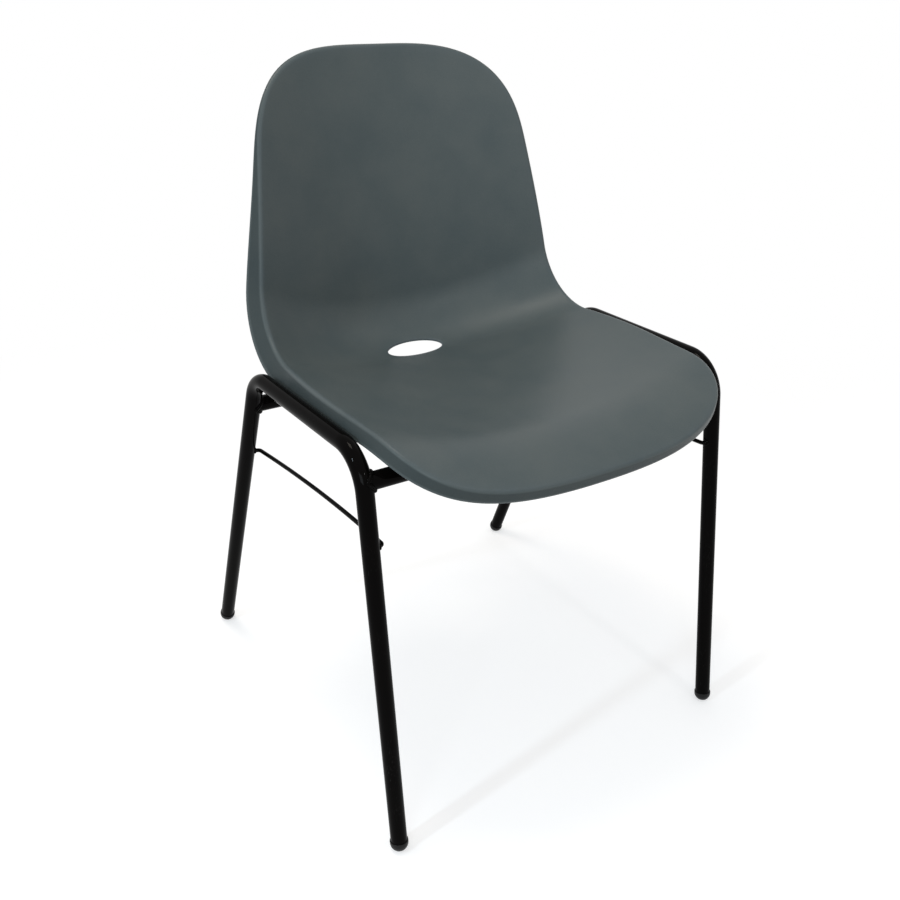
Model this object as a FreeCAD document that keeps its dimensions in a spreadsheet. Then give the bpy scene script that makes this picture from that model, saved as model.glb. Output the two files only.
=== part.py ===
# Stacking shell chair: a one-piece moulded seat and back on a four-legged steel tube frame.
# Millimetres. +Z is up, the sitter faces -Y, the sitter's left is +X.
# The origin lies on the ground under the middle of the chair's bounding box.
import FreeCAD, Part
import math
import os

import Sketcher
from FreeCAD import Placement, Rotation, Vector

DOC = FreeCAD.newDocument("shell_chair")
SHEET = DOC.addObject("Spreadsheet::Sheet", "sizes")
UP = Vector(0, 0, 1)
SIDES = {"left": 1, "right": -1}
ENDS = ("front", "rear")

# Driving dimensions, in millimetres and degrees. Reaches are measured along the side
# frames from the middle of the feet, forwards for the front and backwards for the rear.
SIZES = {
    # bent side frames
    "tube_diameter": 19.0,
    "tube_wall": 1.5,
    "frame_half_width": 241.6,
    "frame_toe_in": 1.2,
    "frame_lean": 0.2,
    "feet_middle_back": 9.7,
    "front_foot_reach": 255.7,
    "rear_foot_reach": 254.9,
    "front_bend_reach": 191.5,
    "rear_bend_reach": 58.6,
    "front_bend_height": 465.5,
    "rear_bend_height": 460.0,
    "bend_radius": 45.0,
    # cross tubes, welded between the legs below the bends
    "front_cross_height": 436.5,
    "rear_cross_height": 417.3,
    "cope_clearance": 0.2,
    "weld_leg": 3.0,
    # side wires, welded inside the legs
    "wire_diameter": 5.0,
    "wire_front_height": 368.5,
    "wire_rear_height": 343.2,
    "wire_standoff": 13.5,
    "wire_bow": 4.4,
    "wire_bow_share": 0.9,
    "wire_past_front_leg": 2.0,
    "wire_before_rear_leg": 8.0,
    "wire_bend_radius": 5.0,
    "wire_weld_radius": 4.2,
    # foot caps
    "cap_diameter": 21.0,
    "cap_collar": 3.0,
    "cap_flat_depth": 1.0,
    "cap_plug_length": 18.0,
    "cap_plug_clearance": 0.2,
    # shell wall, edge and hand hole
    "shell_thickness": 4.0,
    "edge_radius": 5.0,
    "hole_half_width": 40.0,
    "hole_half_height": 16.0,
    "hole_above_bend": 22.0,
    # shell profile along the middle
    "middle_bend_back": 97.7,
    "middle_bend_height": 430.5,
    "middle_seat_tilt": 4.2,
    "middle_recline": 5.0,
    "middle_bend_radius": 68.0,
    "middle_seat_run": 284.0,
    "middle_back_run": 310.5,
    "middle_roll_radius": 128.0,
    "middle_roll_angle": 41.7,
    "middle_back_bow": 6.5,
    # shell profile at the side, measured at side_profile_offset from the middle
    "side_profile_offset": 200.0,
    "side_bend_back": 41.7,
    "side_bend_height": 471.0,
    "side_seat_tilt": 1.0,
    "side_recline": 5.0,
    "side_bend_radius": 79.0,
    "side_seat_run": 205.0,
    "side_back_run": 270.5,
    "side_roll_radius": 135.0,
    "side_roll_angle": 48.7,
    "side_back_bow": 9.5,
    # gap between the side frames and the shell's widest place, how much narrower each side
    # of the shell is in each of its regions, and its rounded corners
    "shell_side_gap": 10.1,
    "front_inset": 4.0,
    "seat_inset": 0.0,
    "bend_inset": 8.4,
    "back_inset": 32.8,
    "top_inset": 52.0,
    "front_corner_length": 114.3,
    "top_corner_length": 158.0,
    "corner_squareness": 3.25,
    # depth of the lip under the outline, and how far it flares outwards
    "front_lip_depth": 17.3,
    "seat_lip_depth": 23.1,
    "bend_lip_depth": 26.5,
    "back_lip_depth": 10.5,
    "top_lip_depth": 5.0,
    "front_lip_flare": 13.0,
    "seat_lip_flare": -4.0,
    "bend_lip_flare": -0.9,
    "back_lip_flare": 7.0,
    "top_lip_flare": 5.0,
    # saddle blocks under the seat and the screws through the cross tubes
    "mount_half_spacing": 130.0,
    "saddle_width": 24.0,
    "saddle_length": 30.0,
    "saddle_clearance": 0.2,
    "screw_diameter": 5.0,
    "pilot_clearance": 0.1,
    "pilot_runout": 1.0,
    "screw_length": 29.0,
    "screw_head_diameter": 9.5,
    "screw_head_height": 3.0,
    "screw_head_corner": 2.1,
    "screw_point_diameter": 2.0,
    "screw_socket_width": 3.0,
    "screw_socket_depth": 1.8,
    "screw_hole_clearance": 0.3,
    "washer_diameter": 13.0,
    "washer_thickness": 1.5,
}


def fill_sheet():
    """Write every driving dimension into the spreadsheet, with its name as alias."""
    for row, (name, value) in enumerate(SIZES.items(), start=1):
        SHEET.set(f"A{row}", name)
        SHEET.set(f"B{row}", str(value))
        SHEET.setAlias(f"B{row}", name)
    DOC.recompute()


def size(name):
    return float(SHEET.get(name))


def angle(name):
    return math.radians(size(name))


# Places that several pieces share.

def side_placement(side):
    """The plane of a side frame, which toes in and leans in: its own Y runs to the rear."""
    sign = SIDES[side]
    base = Vector(sign * size("frame_half_width"), size("feet_middle_back"), 0)
    toed = Rotation(UP, -sign * size("frame_toe_in"))
    return Placement(base, toed * Rotation(Vector(0, 1, 0), -sign * size("frame_lean")))


def leg_ends(end):
    """The bend corner and the ground point of a leg's axis, in its side frame's plane."""
    sign = -1 if end == "front" else 1
    top = Vector(0, sign * size(f"{end}_bend_reach"), size(f"{end}_bend_height"))
    ground = Vector(0, sign * size(f"{end}_foot_reach"), 0)
    return top, ground


def leg_direction(end):
    top, ground = leg_ends(end)
    return (top - ground).normalize()


def leg_point(end, height):
    """The point of a leg's axis at a height above the ground."""
    top, ground = leg_ends(end)
    return ground + (top - ground) * (height / top.z)


def side_path():
    """A side frame's centreline: front leg, bend, rail, bend and rear leg, drawn flat."""
    corners = [tube_end("front"), leg_ends("front")[0], leg_ends("rear")[0], tube_end("rear")]
    flat = [Vector(point.y, point.z, 0) for point in corners]
    return rounded_path(flat, [size("bend_radius")] * 2)


def cross_point(end, side):
    """Where a cross tube's axis meets a side frame's centreline, on the leg or on its bend."""
    path = side_path()
    half = path[:2] if end == "front" else path[3:]
    centreline = Part.Wire([piece.toShape() for piece in half])
    height = size(f"{end}_cross_height")
    reach = size("front_foot_reach")
    level = Part.makeLine(Vector(-reach, height, 0), Vector(reach, height, 0))
    meeting = centreline.distToShape(level)[1][0][0]
    return side_placement(side).multVec(Vector(0, meeting.x, meeting.y))


def cap_centre(end):
    """The middle of a foot cap's round end, which the ground cuts flat."""
    return leg_point(end, size("cap_diameter") / 2 - size("cap_flat_depth"))


def tube_end(end):
    """Where the leg's tube stops, one collar above the cap's round end."""
    return cap_centre(end) + leg_direction(end) * size("cap_collar")


def screw_places(end):
    """Where the two shell screws cross a cross tube's axis, left and right."""
    meeting = cross_point(end, "left")
    return {side: Vector(sign * size("mount_half_spacing"), meeting.y, meeting.z)
            for side, sign in SIDES.items()}


# Helpers for documents and bodies.

def origin_plane(body, role):
    return next(item for item in body.Origin.OriginFeatures if item.Role == role)


def sketch_on(body, name, role, offset=Placement()):
    sketch = body.newObject("Sketcher::SketchObject", name)
    sketch.AttachmentSupport = (origin_plane(body, role), "")
    sketch.MapMode = "FlatFace"
    sketch.AttachmentOffset = offset
    return sketch


def rounded_path(corners, radii):
    """Straight runs joined by tangent arcs; radii holds one radius for each inner corner."""
    pieces = []
    start = corners[0]
    for before, corner, after, radius in zip(corners, corners[1:], corners[2:], radii):
        back = (before - corner).normalize()
        onward = (after - corner).normalize()
        half_angle = back.getAngle(onward) / 2
        setback = radius / math.tan(half_angle)
        to_centre = (back + onward).normalize()
        first = corner + back * setback
        last = corner + onward * setback
        middle = corner + to_centre * (radius / math.sin(half_angle) - radius)
        pieces.append(Part.LineSegment(start, first))
        pieces.append(Part.Arc(first, middle, last))
        start = last
    pieces.append(Part.LineSegment(start, corners[-1]))
    return pieces


def bound_circle(sketch, radius, centre=Vector()):
    """A circle whose radius follows an expression of the sheet."""
    circle = sketch.addGeometry(Part.Circle(centre, UP, 1.0), False)
    if centre.Length == 0:
        sketch.addConstraint(Sketcher.Constraint("Coincident", circle, 3, -1, 1))
    index = sketch.addConstraint(Sketcher.Constraint("Radius", circle, 1.0))
    sketch.setExpression(f"Constraints[{index}]", radius)


def swept_body(label, role, path, radii):
    """A round bar along a flat path, or a tube where radii holds a second, inner radius."""
    body = DOC.addObject("PartDesign::Body", label)
    spine = sketch_on(body, f"{label}_path", role)
    spine.addGeometry(path, False)
    DOC.recompute()
    start = spine.Placement.multVec(path[0].StartPoint)
    ahead = spine.Placement.multVec(path[0].EndPoint)
    square_to_path = Placement(start, Rotation(UP, ahead - start))
    profile = sketch_on(body, f"{label}_profile", "XY_Plane", square_to_path)
    for radius in radii:
        bound_circle(profile, radius)
    DOC.recompute()
    pipe = body.newObject("PartDesign::AdditivePipe", f"{label}_pipe")
    pipe.Profile = profile
    pipe.Spine = spine
    DOC.recompute()
    return body


def turned_body(label, outline):
    """A solid of revolution about its own Z; outline runs from axis to axis as (radius, height)."""
    body = DOC.addObject("PartDesign::Body", label)
    sketch = sketch_on(body, f"{label}_outline", "XZ_Plane")
    sketch.addGeometry(outline, False)
    DOC.recompute()
    turn = body.newObject("PartDesign::Revolution", f"{label}_turn")
    turn.Profile = sketch
    turn.ReferenceAxis = (sketch, ["V_Axis"])
    turn.Angle = 360
    DOC.recompute()
    return body


def polyline(points):
    return [Part.LineSegment(a, b) for a, b in zip(points, points[1:])]


def cylinder(name, radius, height, placement=Placement()):
    """A cylinder whose radius and height follow expressions of the sheet."""
    rod = DOC.addObject("Part::Cylinder", name)
    rod.setExpression("Radius", radius)
    rod.setExpression("Height", height)
    rod.Placement = placement
    return rod


def cut(name, base, tools):
    """The base solid less its tools, one boolean for each tool."""
    for number, tool in enumerate(tools, start=1):
        step = DOC.addObject("Part::Cut", name if number == len(tools) else f"{name}_cut_{number}")
        step.Base = base
        step.Tool = tool
        base = step
    base.Label = name
    return base


PIECES = []


def keep(piece, label):
    """Note a finished piece, whose Label names its file."""
    piece.Label = label
    PIECES.append(piece)
    return piece


# Frame: two bent tubes, two cross tubes, two side wires and their welds.

TUBE_RADIUS = "sizes.tube_diameter / 2"
ROD_RADII = {
    "tube": TUBE_RADIUS,
    "cope": f"{TUBE_RADIUS} + sizes.cope_clearance",
    "bead": f"{TUBE_RADIUS} + sizes.weld_leg",
}


def frame_rod(side, use):
    """A solid rod along a side frame, which trims whatever meets it. Each is made once."""
    name = f"{use}_rod_{side}"
    rod = DOC.getObject(name)
    if rod is None:
        rod = swept_body(name, "YZ_Plane", side_path(), [ROD_RADII[use]])
        rod.Placement = side_placement(side)
    return rod


def make_side_frame(side):
    """An upside-down U of tube: front leg, bend, rail, bend, rear leg."""
    label = f"side_frame_{side}"
    bore = f"{TUBE_RADIUS} - sizes.tube_wall"
    frame = swept_body(label, "YZ_Plane", side_path(), [TUBE_RADIUS, bore])
    frame.Placement = side_placement(side)
    return keep(frame, label)


def make_cross_tube(end):
    """A tube between the two side frames, coped to the legs and drilled for two screws."""
    label = f"cross_tube_{end}"
    start = cross_point(end, "right")
    length = f"{-2 * start.x}"
    along = Placement(start, Rotation(UP, Vector(1, 0, 0)))
    outer = cylinder(f"{label}_outside", TUBE_RADIUS, length, along)
    inner = cylinder(f"{label}_bore", f"{TUBE_RADIUS} - sizes.tube_wall", length, along)
    tools = [inner]
    for side in SIDES:
        tools.append(frame_rod(side, "cope"))
        place = screw_places(end)[side] - Vector(0, 0, size("tube_diameter"))
        hole = "sizes.screw_diameter / 2 + sizes.screw_hole_clearance"
        tools.append(cylinder(f"{label}_hole_{side}", hole, "2 * sizes.tube_diameter",
                              Placement(place, Rotation())))
    return keep(cut(label, outer, tools), label)


def make_cross_weld(end, side):
    """The weld bead in the corner all round one end of a cross tube."""
    label = f"cross_weld_{end}_{side}"
    inboard = Placement(cross_point(end, side), Rotation(UP, Vector(-SIDES[side], 0, 0)))
    bead = DOC.addObject("Part::Common", f"{label}_corner")
    bead.Base = cylinder(f"{label}_round_tube", ROD_RADII["bead"], "2 * sizes.tube_diameter",
                         inboard)
    bead.Tool = frame_rod(side, "bead")
    tube = cylinder(f"{label}_tube", TUBE_RADIUS, "3 * sizes.tube_diameter", inboard)
    return keep(cut(label, bead, [tube, frame_rod(side, "tube")]), label)


# Side wires. Their plane tilts with the wire: its own X is outboard, its own Y to the rear.

def wire_slope():
    """The wire's front and rear heights set the tilt of the plane that it lies in."""
    front = leg_point("front", size("wire_front_height"))
    rear = leg_point("rear", size("wire_rear_height"))
    run = rear - front
    return front, run.Length, Rotation(Vector(0, 1, 0), run)


def wire_placement(side):
    front, _, tilt = wire_slope()
    return side_placement(side).multiply(Placement(front, tilt))


def wire_corners(side):
    """Front leg, front bend, crown of the bow, rear bend and rear leg, in the wire's plane."""
    _, run, _ = wire_slope()
    sign = SIDES[side]
    inboard = size("wire_standoff")
    front_bend = -size("wire_past_front_leg")
    rear_bend = run - size("wire_before_rear_leg")
    crown = inboard + 2 * size("wire_bow")
    flat = [(0, 0), (inboard, front_bend), (crown, (front_bend + rear_bend) / 2),
            (inboard, rear_bend), (0, run)]
    return [Vector(-sign * across, along, 0) for across, along in flat]


def bow_radius(corners):
    """The radius of the long arc that bows the wire over a share of its length."""
    _, front_bend, crown, rear_bend, _ = corners
    turn = (crown - front_bend).getAngle(rear_bend - crown)
    return size("wire_bow_share") * (crown - front_bend).Length / math.tan(turn / 2)


def make_side_wire(side):
    """A bowed wire whose bent ends butt against the front and rear legs."""
    label = f"side_wire_{side}"
    corners = wire_corners(side)
    bend = size("wire_bend_radius")
    path = rounded_path(corners, [bend, bow_radius(corners), bend])
    rod = swept_body(f"{label}_rod", "XY_Plane", path, ["sizes.wire_diameter / 2"])
    rod.Placement = wire_placement(side)
    return keep(cut(label, rod, [frame_rod(side, "tube")]), label)


def make_wire_weld(end, side, wire):
    """A small round bead where a wire's end butts against a leg."""
    label = f"wire_weld_{end}_{side}"
    corners = wire_corners(side)
    tip, bend = (corners[0], corners[1]) if end == "front" else (corners[-1], corners[-2])
    towards = (bend - tip).normalize()
    seat = tip + towards * (size("tube_diameter") / 2)
    ball = DOC.addObject("Part::Sphere", f"{label}_ball")
    ball.setExpression("Radius", "sizes.wire_weld_radius")
    ball.Placement = Placement(wire_placement(side).multVec(seat), Rotation())
    return keep(cut(label, ball, [frame_rod(side, "tube"), wire]), label)


# Foot caps: a round-ended collar as wide as the cap, and a plug up the leg's bore.

def make_foot_cap(end, side):
    label = f"foot_cap_{end}_{side}"
    round_radius = size("cap_diameter") / 2
    plug_radius = size("tube_diameter") / 2 - size("tube_wall") - size("cap_plug_clearance")
    collar = size("cap_collar")
    plug_top = collar + size("cap_plug_length")
    diagonal = round_radius * math.sqrt(0.5)
    outline = [Part.Arc(Vector(0, -round_radius, 0), Vector(diagonal, -diagonal, 0),
                        Vector(round_radius, 0, 0))]
    outline += polyline([Vector(round_radius, 0, 0), Vector(round_radius, collar, 0),
                         Vector(plug_radius, collar, 0), Vector(plug_radius, plug_top, 0),
                         Vector(0, plug_top, 0), Vector(0, -round_radius, 0)])
    blank = turned_body(f"{label}_blank", outline)
    upright = Placement(cap_centre(end), Rotation(UP, leg_direction(end)))
    blank.Placement = side_placement(side).multiply(upright)
    ground = DOC.addObject("Part::Box", f"{label}_ground")
    for edge in ("Length", "Width", "Height"):
        ground.setExpression(edge, "4 * sizes.cap_diameter")
    middle = blank.Placement.Base
    reach = 2 * size("cap_diameter")
    ground.Placement = Placement(Vector(middle.x - reach, middle.y - reach, -2 * reach), Rotation())
    return keep(cut(label, blank, [ground]), label)


# Shell. Places on it are given by an offset from the middle and a length along the middle
# profile, which is 0 where the seat's straight run meets the bend into the back.

class Profile:
    """A side view of the shell: front roll, straight seat, bend and slightly bowed back."""

    def __init__(self, name):
        self.back = size(f"{name}_bend_back")
        self.height = size(f"{name}_bend_height")
        self.tilt = angle(f"{name}_seat_tilt")
        self.turn = math.pi / 2 - angle(f"{name}_recline") + self.tilt
        self.bend_radius = size(f"{name}_bend_radius")
        self.seat_run = size(f"{name}_seat_run")
        self.back_run = size(f"{name}_back_run")
        self.roll_radius = size(f"{name}_roll_radius")
        self.roll = angle(f"{name}_roll_angle")
        self.bow = angle(f"{name}_back_bow")

    def lengths(self):
        return [self.roll_radius * self.roll, self.seat_run,
                self.bend_radius * self.turn, self.back_run]

    def point(self, stage):
        """The point at a stage: 0 front lip, 1 seat, 2 bend, 3 back, 4 top edge."""
        if stage <= 1:
            start = self.on_seat(self.seat_run)
            return arc_point(start, -self.tilt, self.roll_radius, (1 - stage) * self.roll)
        if stage <= 2:
            return self.on_seat((2 - stage) * self.seat_run)
        bend_end = arc_point((self.back, self.height), -self.tilt, -self.bend_radius,
                             min(stage - 2, 1) * self.turn)
        if stage <= 3:
            return bend_end
        bow_radius = self.back_run / self.bow
        return arc_point(bend_end, self.turn - self.tilt, bow_radius, -(stage - 3) * self.bow)

    def on_seat(self, forward):
        return (self.back - forward * math.cos(self.tilt),
                self.height + forward * math.sin(self.tilt))


def arc_point(start, heading, radius, turn):
    """A point along an arc: turn is positive for the way back along the profile's heading."""
    end = heading + turn
    back = start[0] - radius * (math.sin(end) - math.sin(heading))
    height = start[1] - radius * (math.cos(heading) - math.cos(end))
    return back, height


class ShellSurface:
    """The sitter's side of the shell, between its middle and side profiles."""

    OUTLINE_STEPS = 44
    FINE_STEPS = 200
    STEP = 0.5

    def __init__(self):
        self.middle = Profile("middle")
        self.side = Profile("side")
        roll, seat, bend, back = self.middle.lengths()
        self.stations = [-(roll + seat), -seat, 0, bend, bend + back]
        self.front = self.stations[0]
        self.top = self.stations[-1]
        self.regions = {"front": [self.front, self.front + size("front_corner_length")],
                        "seat": [-seat / 2], "bend": [bend / 2],
                        "back": [bend + back / 2], "top": [self.top]}
        rail_face = size("frame_half_width") - size("tube_diameter") / 2
        self.widest = rail_face - size("shell_side_gap")
        self.insets = self.region_curve("inset")
        self.lip_depths = self.region_curve("lip_depth")
        self.lip_flares = self.region_curve("lip_flare")

    def region_curve(self, name):
        """A smooth curve of a size along the shell, through its value for each region."""
        places = [place for region in self.regions.values() for place in region]
        values = [Vector(place, size(f"{region}_{name}"), 0)
                  for region, middles in self.regions.items() for place in middles]
        curve = Part.BSplineCurve()
        curve.interpolate(Points=values, Parameters=places)
        return curve

    def half_width(self, along):
        return self.widest - self.insets.value(along).y

    def stage(self, along):
        """The stage of the profiles at a length along the middle one."""
        for number, (start, end) in enumerate(zip(self.stations, self.stations[1:])):
            if along <= end or number == 3:
                return number + (along - start) / (end - start)

    def point(self, across, along):
        """Cross sections are parabolas from the middle profile through the side one."""
        stage = self.stage(along)
        middle = self.middle.point(stage)
        side = self.side.point(stage)
        share = (across / size("side_profile_offset")) ** 2
        return Vector(across, middle[0] + (side[0] - middle[0]) * share,
                      middle[1] + (side[1] - middle[1]) * share)

    def normal(self, across, along):
        """The unit normal on the sitter's side."""
        step = self.STEP
        sideways = self.point(across + step, along) - self.point(across - step, along)
        onward = self.point(across, along + step) - self.point(across, along - step)
        return sideways.cross(onward).normalize()

    def half_outline(self):
        """Closely spaced (across, along) places on the left edge, from front to top middle."""
        power = 2 / size("corner_squareness")
        front_end = self.front + size("front_corner_length")
        top_start = self.top - size("top_corner_length")
        steps = self.FINE_STEPS
        quarter = [math.pi / 2 * number / steps for number in range(steps + 1)]
        corners = [(front_end - (front_end - self.front) * math.sin(turn) ** power,
                    math.cos(turn) ** power) for turn in reversed(quarter)]
        corners += [(front_end + (top_start - front_end) * number / steps, 1)
                    for number in range(1, steps)]
        corners += [(top_start + (self.top - top_start) * math.sin(turn) ** power,
                     math.cos(turn) ** power) for turn in quarter]
        return [(self.half_width(along) * share, along) for along, share in corners]

    def outline(self):
        """The whole outline, anticlockwise from the front middle, in equal steps."""
        half = evenly_spaced(self.half_outline(), self.OUTLINE_STEPS)
        half[0] = (0, self.front)
        half[-1] = (0, self.top)
        return half + [(-across, along) for across, along in reversed(half[1:-1])]


def evenly_spaced(places, steps):
    """Places at equal distances along a line of closely spaced places."""
    travelled = [0]
    for before, after in zip(places, places[1:]):
        travelled.append(travelled[-1] + math.dist(before, after))
    result = []
    number = 1
    for step in range(steps + 1):
        wanted = travelled[-1] * step / steps
        while number < len(places) - 1 and travelled[number] < wanted:
            number += 1
        span = travelled[number] - travelled[number - 1]
        share = (wanted - travelled[number - 1]) / span
        before, after = places[number - 1], places[number]
        result.append(tuple(a + (b - a) * share for a, b in zip(before, after)))
    return result


def closed_band(rings, spacing=None):
    """A smooth face through closed rings of points, or a ruled one through two rings."""
    curves = []
    for ring in rings:
        curve = Part.BSplineCurve()
        curve.interpolate(Points=ring, PeriodicFlag=True,
                          Parameters=[float(number) for number in range(len(ring) + 1)])
        curves.append(curve)
    around = curves[0]
    columns = []
    for poles in zip(*(curve.getPoles() for curve in curves)):
        column = Part.BSplineCurve()
        if spacing:
            column.interpolate(Points=list(poles), Parameters=spacing)
        else:
            column.buildFromPoles(list(poles), False, 1)
        columns.append(column)
    across = columns[0]
    surface = Part.BSplineSurface()
    surface.buildFromPolesMultsKnots(
        [column.getPoles() for column in columns],
        around.getMultiplicities(), across.getMultiplicities(),
        around.getKnots(), across.getKnots(), True, False, around.Degree, across.Degree)
    return surface.toShape()


def hole_rim(outline):
    """The hand hole's ellipse, with one place on it for each place of the outline."""
    centre = size("hole_above_bend")
    rim = []
    for across, along in outline:
        turn = math.atan2(along - centre, across)
        rim.append((size("hole_half_width") * math.cos(turn),
                    centre + size("hole_half_height") * math.sin(turn)))
    return rim


def inset_outline(outline, distance):
    """The outline moved inwards by a distance."""
    result = []
    count = len(outline)
    for number, (across, along) in enumerate(outline):
        before = outline[number - 1]
        after = outline[(number + 1) % count]
        run = (after[0] - before[0], after[1] - before[1])
        scale = distance / math.hypot(*run)
        result.append((across - run[1] * scale, along + run[0] * scale))
    return result


class EdgePlace:
    """One place on the inset outline, where the wall turns over into the rounded edge and lip."""

    def __init__(self, surface, edge, inner):
        self.base = surface.point(*inner)
        self.normal = surface.normal(*inner)
        outward = surface.point(*edge) - self.base
        self.outward = (outward - self.normal * outward.dot(self.normal)).normalize()
        self.flare = math.radians(surface.lip_flares.value(edge[1]).y)
        self.depth = surface.lip_depths.value(edge[1]).y

    def point(self, radius, turn_share, lip_share):
        """A point part of the way round the edge's arc, then part of the way down the lip."""
        whole_turn = math.pi / 2 - self.flare
        turn = whole_turn * turn_share
        edge_radius = size("edge_radius")
        run = (self.depth - edge_radius * (1 - math.cos(whole_turn))) / math.cos(self.flare)
        point = self.base - self.normal * edge_radius
        point += self.outward * (radius * math.sin(turn)) + self.normal * (radius * math.cos(turn))
        lip = self.outward * math.sin(self.flare) - self.normal * math.cos(self.flare)
        return point + lip * (run * lip_share)


# Shares of the way from the hand hole to the edge, and round the edge's arc, where the
# shell's faces are shaped by a ring of points.
WALL_SHARES = [0, 0.07, 0.17, 0.3, 0.45, 0.6, 0.75, 0.88, 1]
TURN_SHARES = [0, 0.35, 0.7, 1]


def make_shell_blank():
    """The moulding without its saddle blocks: wall, rounded edge, lip and hand hole."""
    surface = ShellSurface()
    thickness = size("shell_thickness")
    radius = size("edge_radius")
    outline = surface.outline()
    inset = inset_outline(outline, radius)
    rim = hole_rim(outline)
    edge = [EdgePlace(surface, *places) for places in zip(outline, inset)]

    def wall_ring(share, depth):
        ring = []
        for (across_0, along_0), (across_1, along_1) in zip(rim, inset):
            place = (across_0 + (across_1 - across_0) * share,
                     along_0 + (along_1 - along_0) * share)
            ring.append(surface.point(*place) - surface.normal(*place) * depth)
        return ring

    def edge_ring(arc_radius, turn_share, lip_share):
        return [place.point(arc_radius, turn_share, lip_share) for place in edge]

    top = [wall_ring(share, 0) for share in WALL_SHARES]
    bottom = [wall_ring(share, thickness) for share in WALL_SHARES]
    rounding = [edge_ring(radius, share, 0) for share in TURN_SHARES]
    outer_end = edge_ring(radius, 1, 1)
    inner_start = edge_ring(radius - thickness, 1, 0)
    inner_end = edge_ring(radius - thickness, 1, 1)
    faces = [
        closed_band(top, WALL_SHARES),
        closed_band(rounding, TURN_SHARES),
        closed_band([rounding[-1], outer_end]),
        closed_band([outer_end, inner_end]),
        closed_band([inner_end, inner_start]),
        closed_band([inner_start, bottom[-1]]),
        closed_band(bottom, WALL_SHARES),
        closed_band([bottom[0], top[0]]),
    ]
    return solid_from(faces)


def solid_from(faces):
    """A closed solid with outward faces."""
    skin = Part.Shell(faces)
    skin.sewShape()
    solid = Part.Solid(skin)
    if solid.Volume < 0:
        solid.reverse()
    return solid


def above_wall(surface, centre):
    """A thick slab whose underside is the middle of the shell's wall over a saddle block."""
    reach_across = size("saddle_width")
    reach_along = size("saddle_length")
    along = place_along(surface, centre.x, centre.y)
    grid = []
    for row in range(-2, 3):
        line = []
        for column in range(-2, 3):
            place = (centre.x + reach_across * column / 2, along + reach_along * row / 2)
            line.append(surface.point(*place)
                        - surface.normal(*place) * (size("shell_thickness") / 2))
        grid.append(line)
    patch = Part.BSplineSurface()
    patch.interpolate(grid)
    return patch.toShape().extrude(UP * (4 * size("saddle_length")))


def place_along(surface, across, back):
    """The length along the middle profile where the seat lies a distance back."""
    low, high = surface.front, surface.stations[3]
    for _ in range(40):
        middle = (low + high) / 2
        if surface.point(across, middle).y < back:
            low = middle
        else:
            high = middle
    return low


def make_saddle_block(end, side):
    """A block under the seat that sits astride a cross tube and holds one screw."""
    label = f"saddle_block_{end}_{side}"
    centre = screw_places(end)[side]
    block = DOC.addObject("Part::Box", label)
    block.setExpression("Length", "sizes.saddle_width")
    block.setExpression("Width", "sizes.saddle_length")
    block.setExpression("Height", "2 * sizes.saddle_length")
    corner = centre - Vector(size("saddle_width"), size("saddle_length"), 0) / 2
    block.Placement = Placement(corner, Rotation())
    slab = DOC.addObject("Part::Feature", f"{label}_slab")
    slab.Shape = above_wall(ShellSurface(), centre)
    groove = cylinder(f"{label}_groove", "sizes.tube_diameter / 2 + sizes.saddle_clearance",
                      "2 * sizes.saddle_width",
                      Placement(centre - Vector(size("saddle_width"), 0, 0),
                                Rotation(UP, Vector(1, 0, 0))))
    return cut(f"{label}_body", block, [slab, groove])


def screw_seat_drop():
    """How far a screw head's seat lies under its cross tube's axis."""
    return size("tube_diameter") / 2 + size("washer_thickness")


def make_seat_shell():
    """The moulded shell, its four saddle blocks fused on and their pilot holes drilled."""
    blank = DOC.addObject("Part::Feature", "shell_blank")
    blank.Shape = make_shell_blank()
    blocks = [make_saddle_block(end, side) for end in ENDS for side in SIDES]
    moulding = DOC.addObject("Part::MultiFuse", "shell_with_blocks")
    moulding.Shapes = [blank] + blocks
    pilots = []
    for end in ENDS:
        for side in SIDES:
            pilots.append(cylinder(f"pilot_{end}_{side}",
                                   "sizes.screw_diameter / 2 + sizes.pilot_clearance",
                                   "sizes.screw_length + sizes.pilot_runout",
                                   Placement(screw_places(end)[side]
                                             - Vector(0, 0, screw_seat_drop()), Rotation())))
    return keep(cut("seat_shell", moulding, pilots), "seat_shell")


# Fasteners.

def make_saddle_washer(end, side):
    """A round washer whose upper face is hollowed to sit under the cross tube."""
    label = f"saddle_washer_{end}_{side}"
    centre = screw_places(end)[side]
    disc = cylinder(f"{label}_disc", "sizes.washer_diameter / 2", "sizes.tube_diameter / 2",
                    Placement(centre - Vector(0, 0, screw_seat_drop()), Rotation()))
    tube = cylinder(f"{label}_tube", "sizes.tube_diameter / 2", "2 * sizes.washer_diameter",
                    Placement(centre - Vector(size("washer_diameter"), 0, 0),
                              Rotation(UP, Vector(1, 0, 0))))
    hole = cylinder(f"{label}_hole", "sizes.screw_diameter / 2 + sizes.screw_hole_clearance",
                    "sizes.tube_diameter", Placement(disc.Placement.Base, Rotation()))
    return keep(cut(label, disc, [tube, hole]), label)


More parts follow.
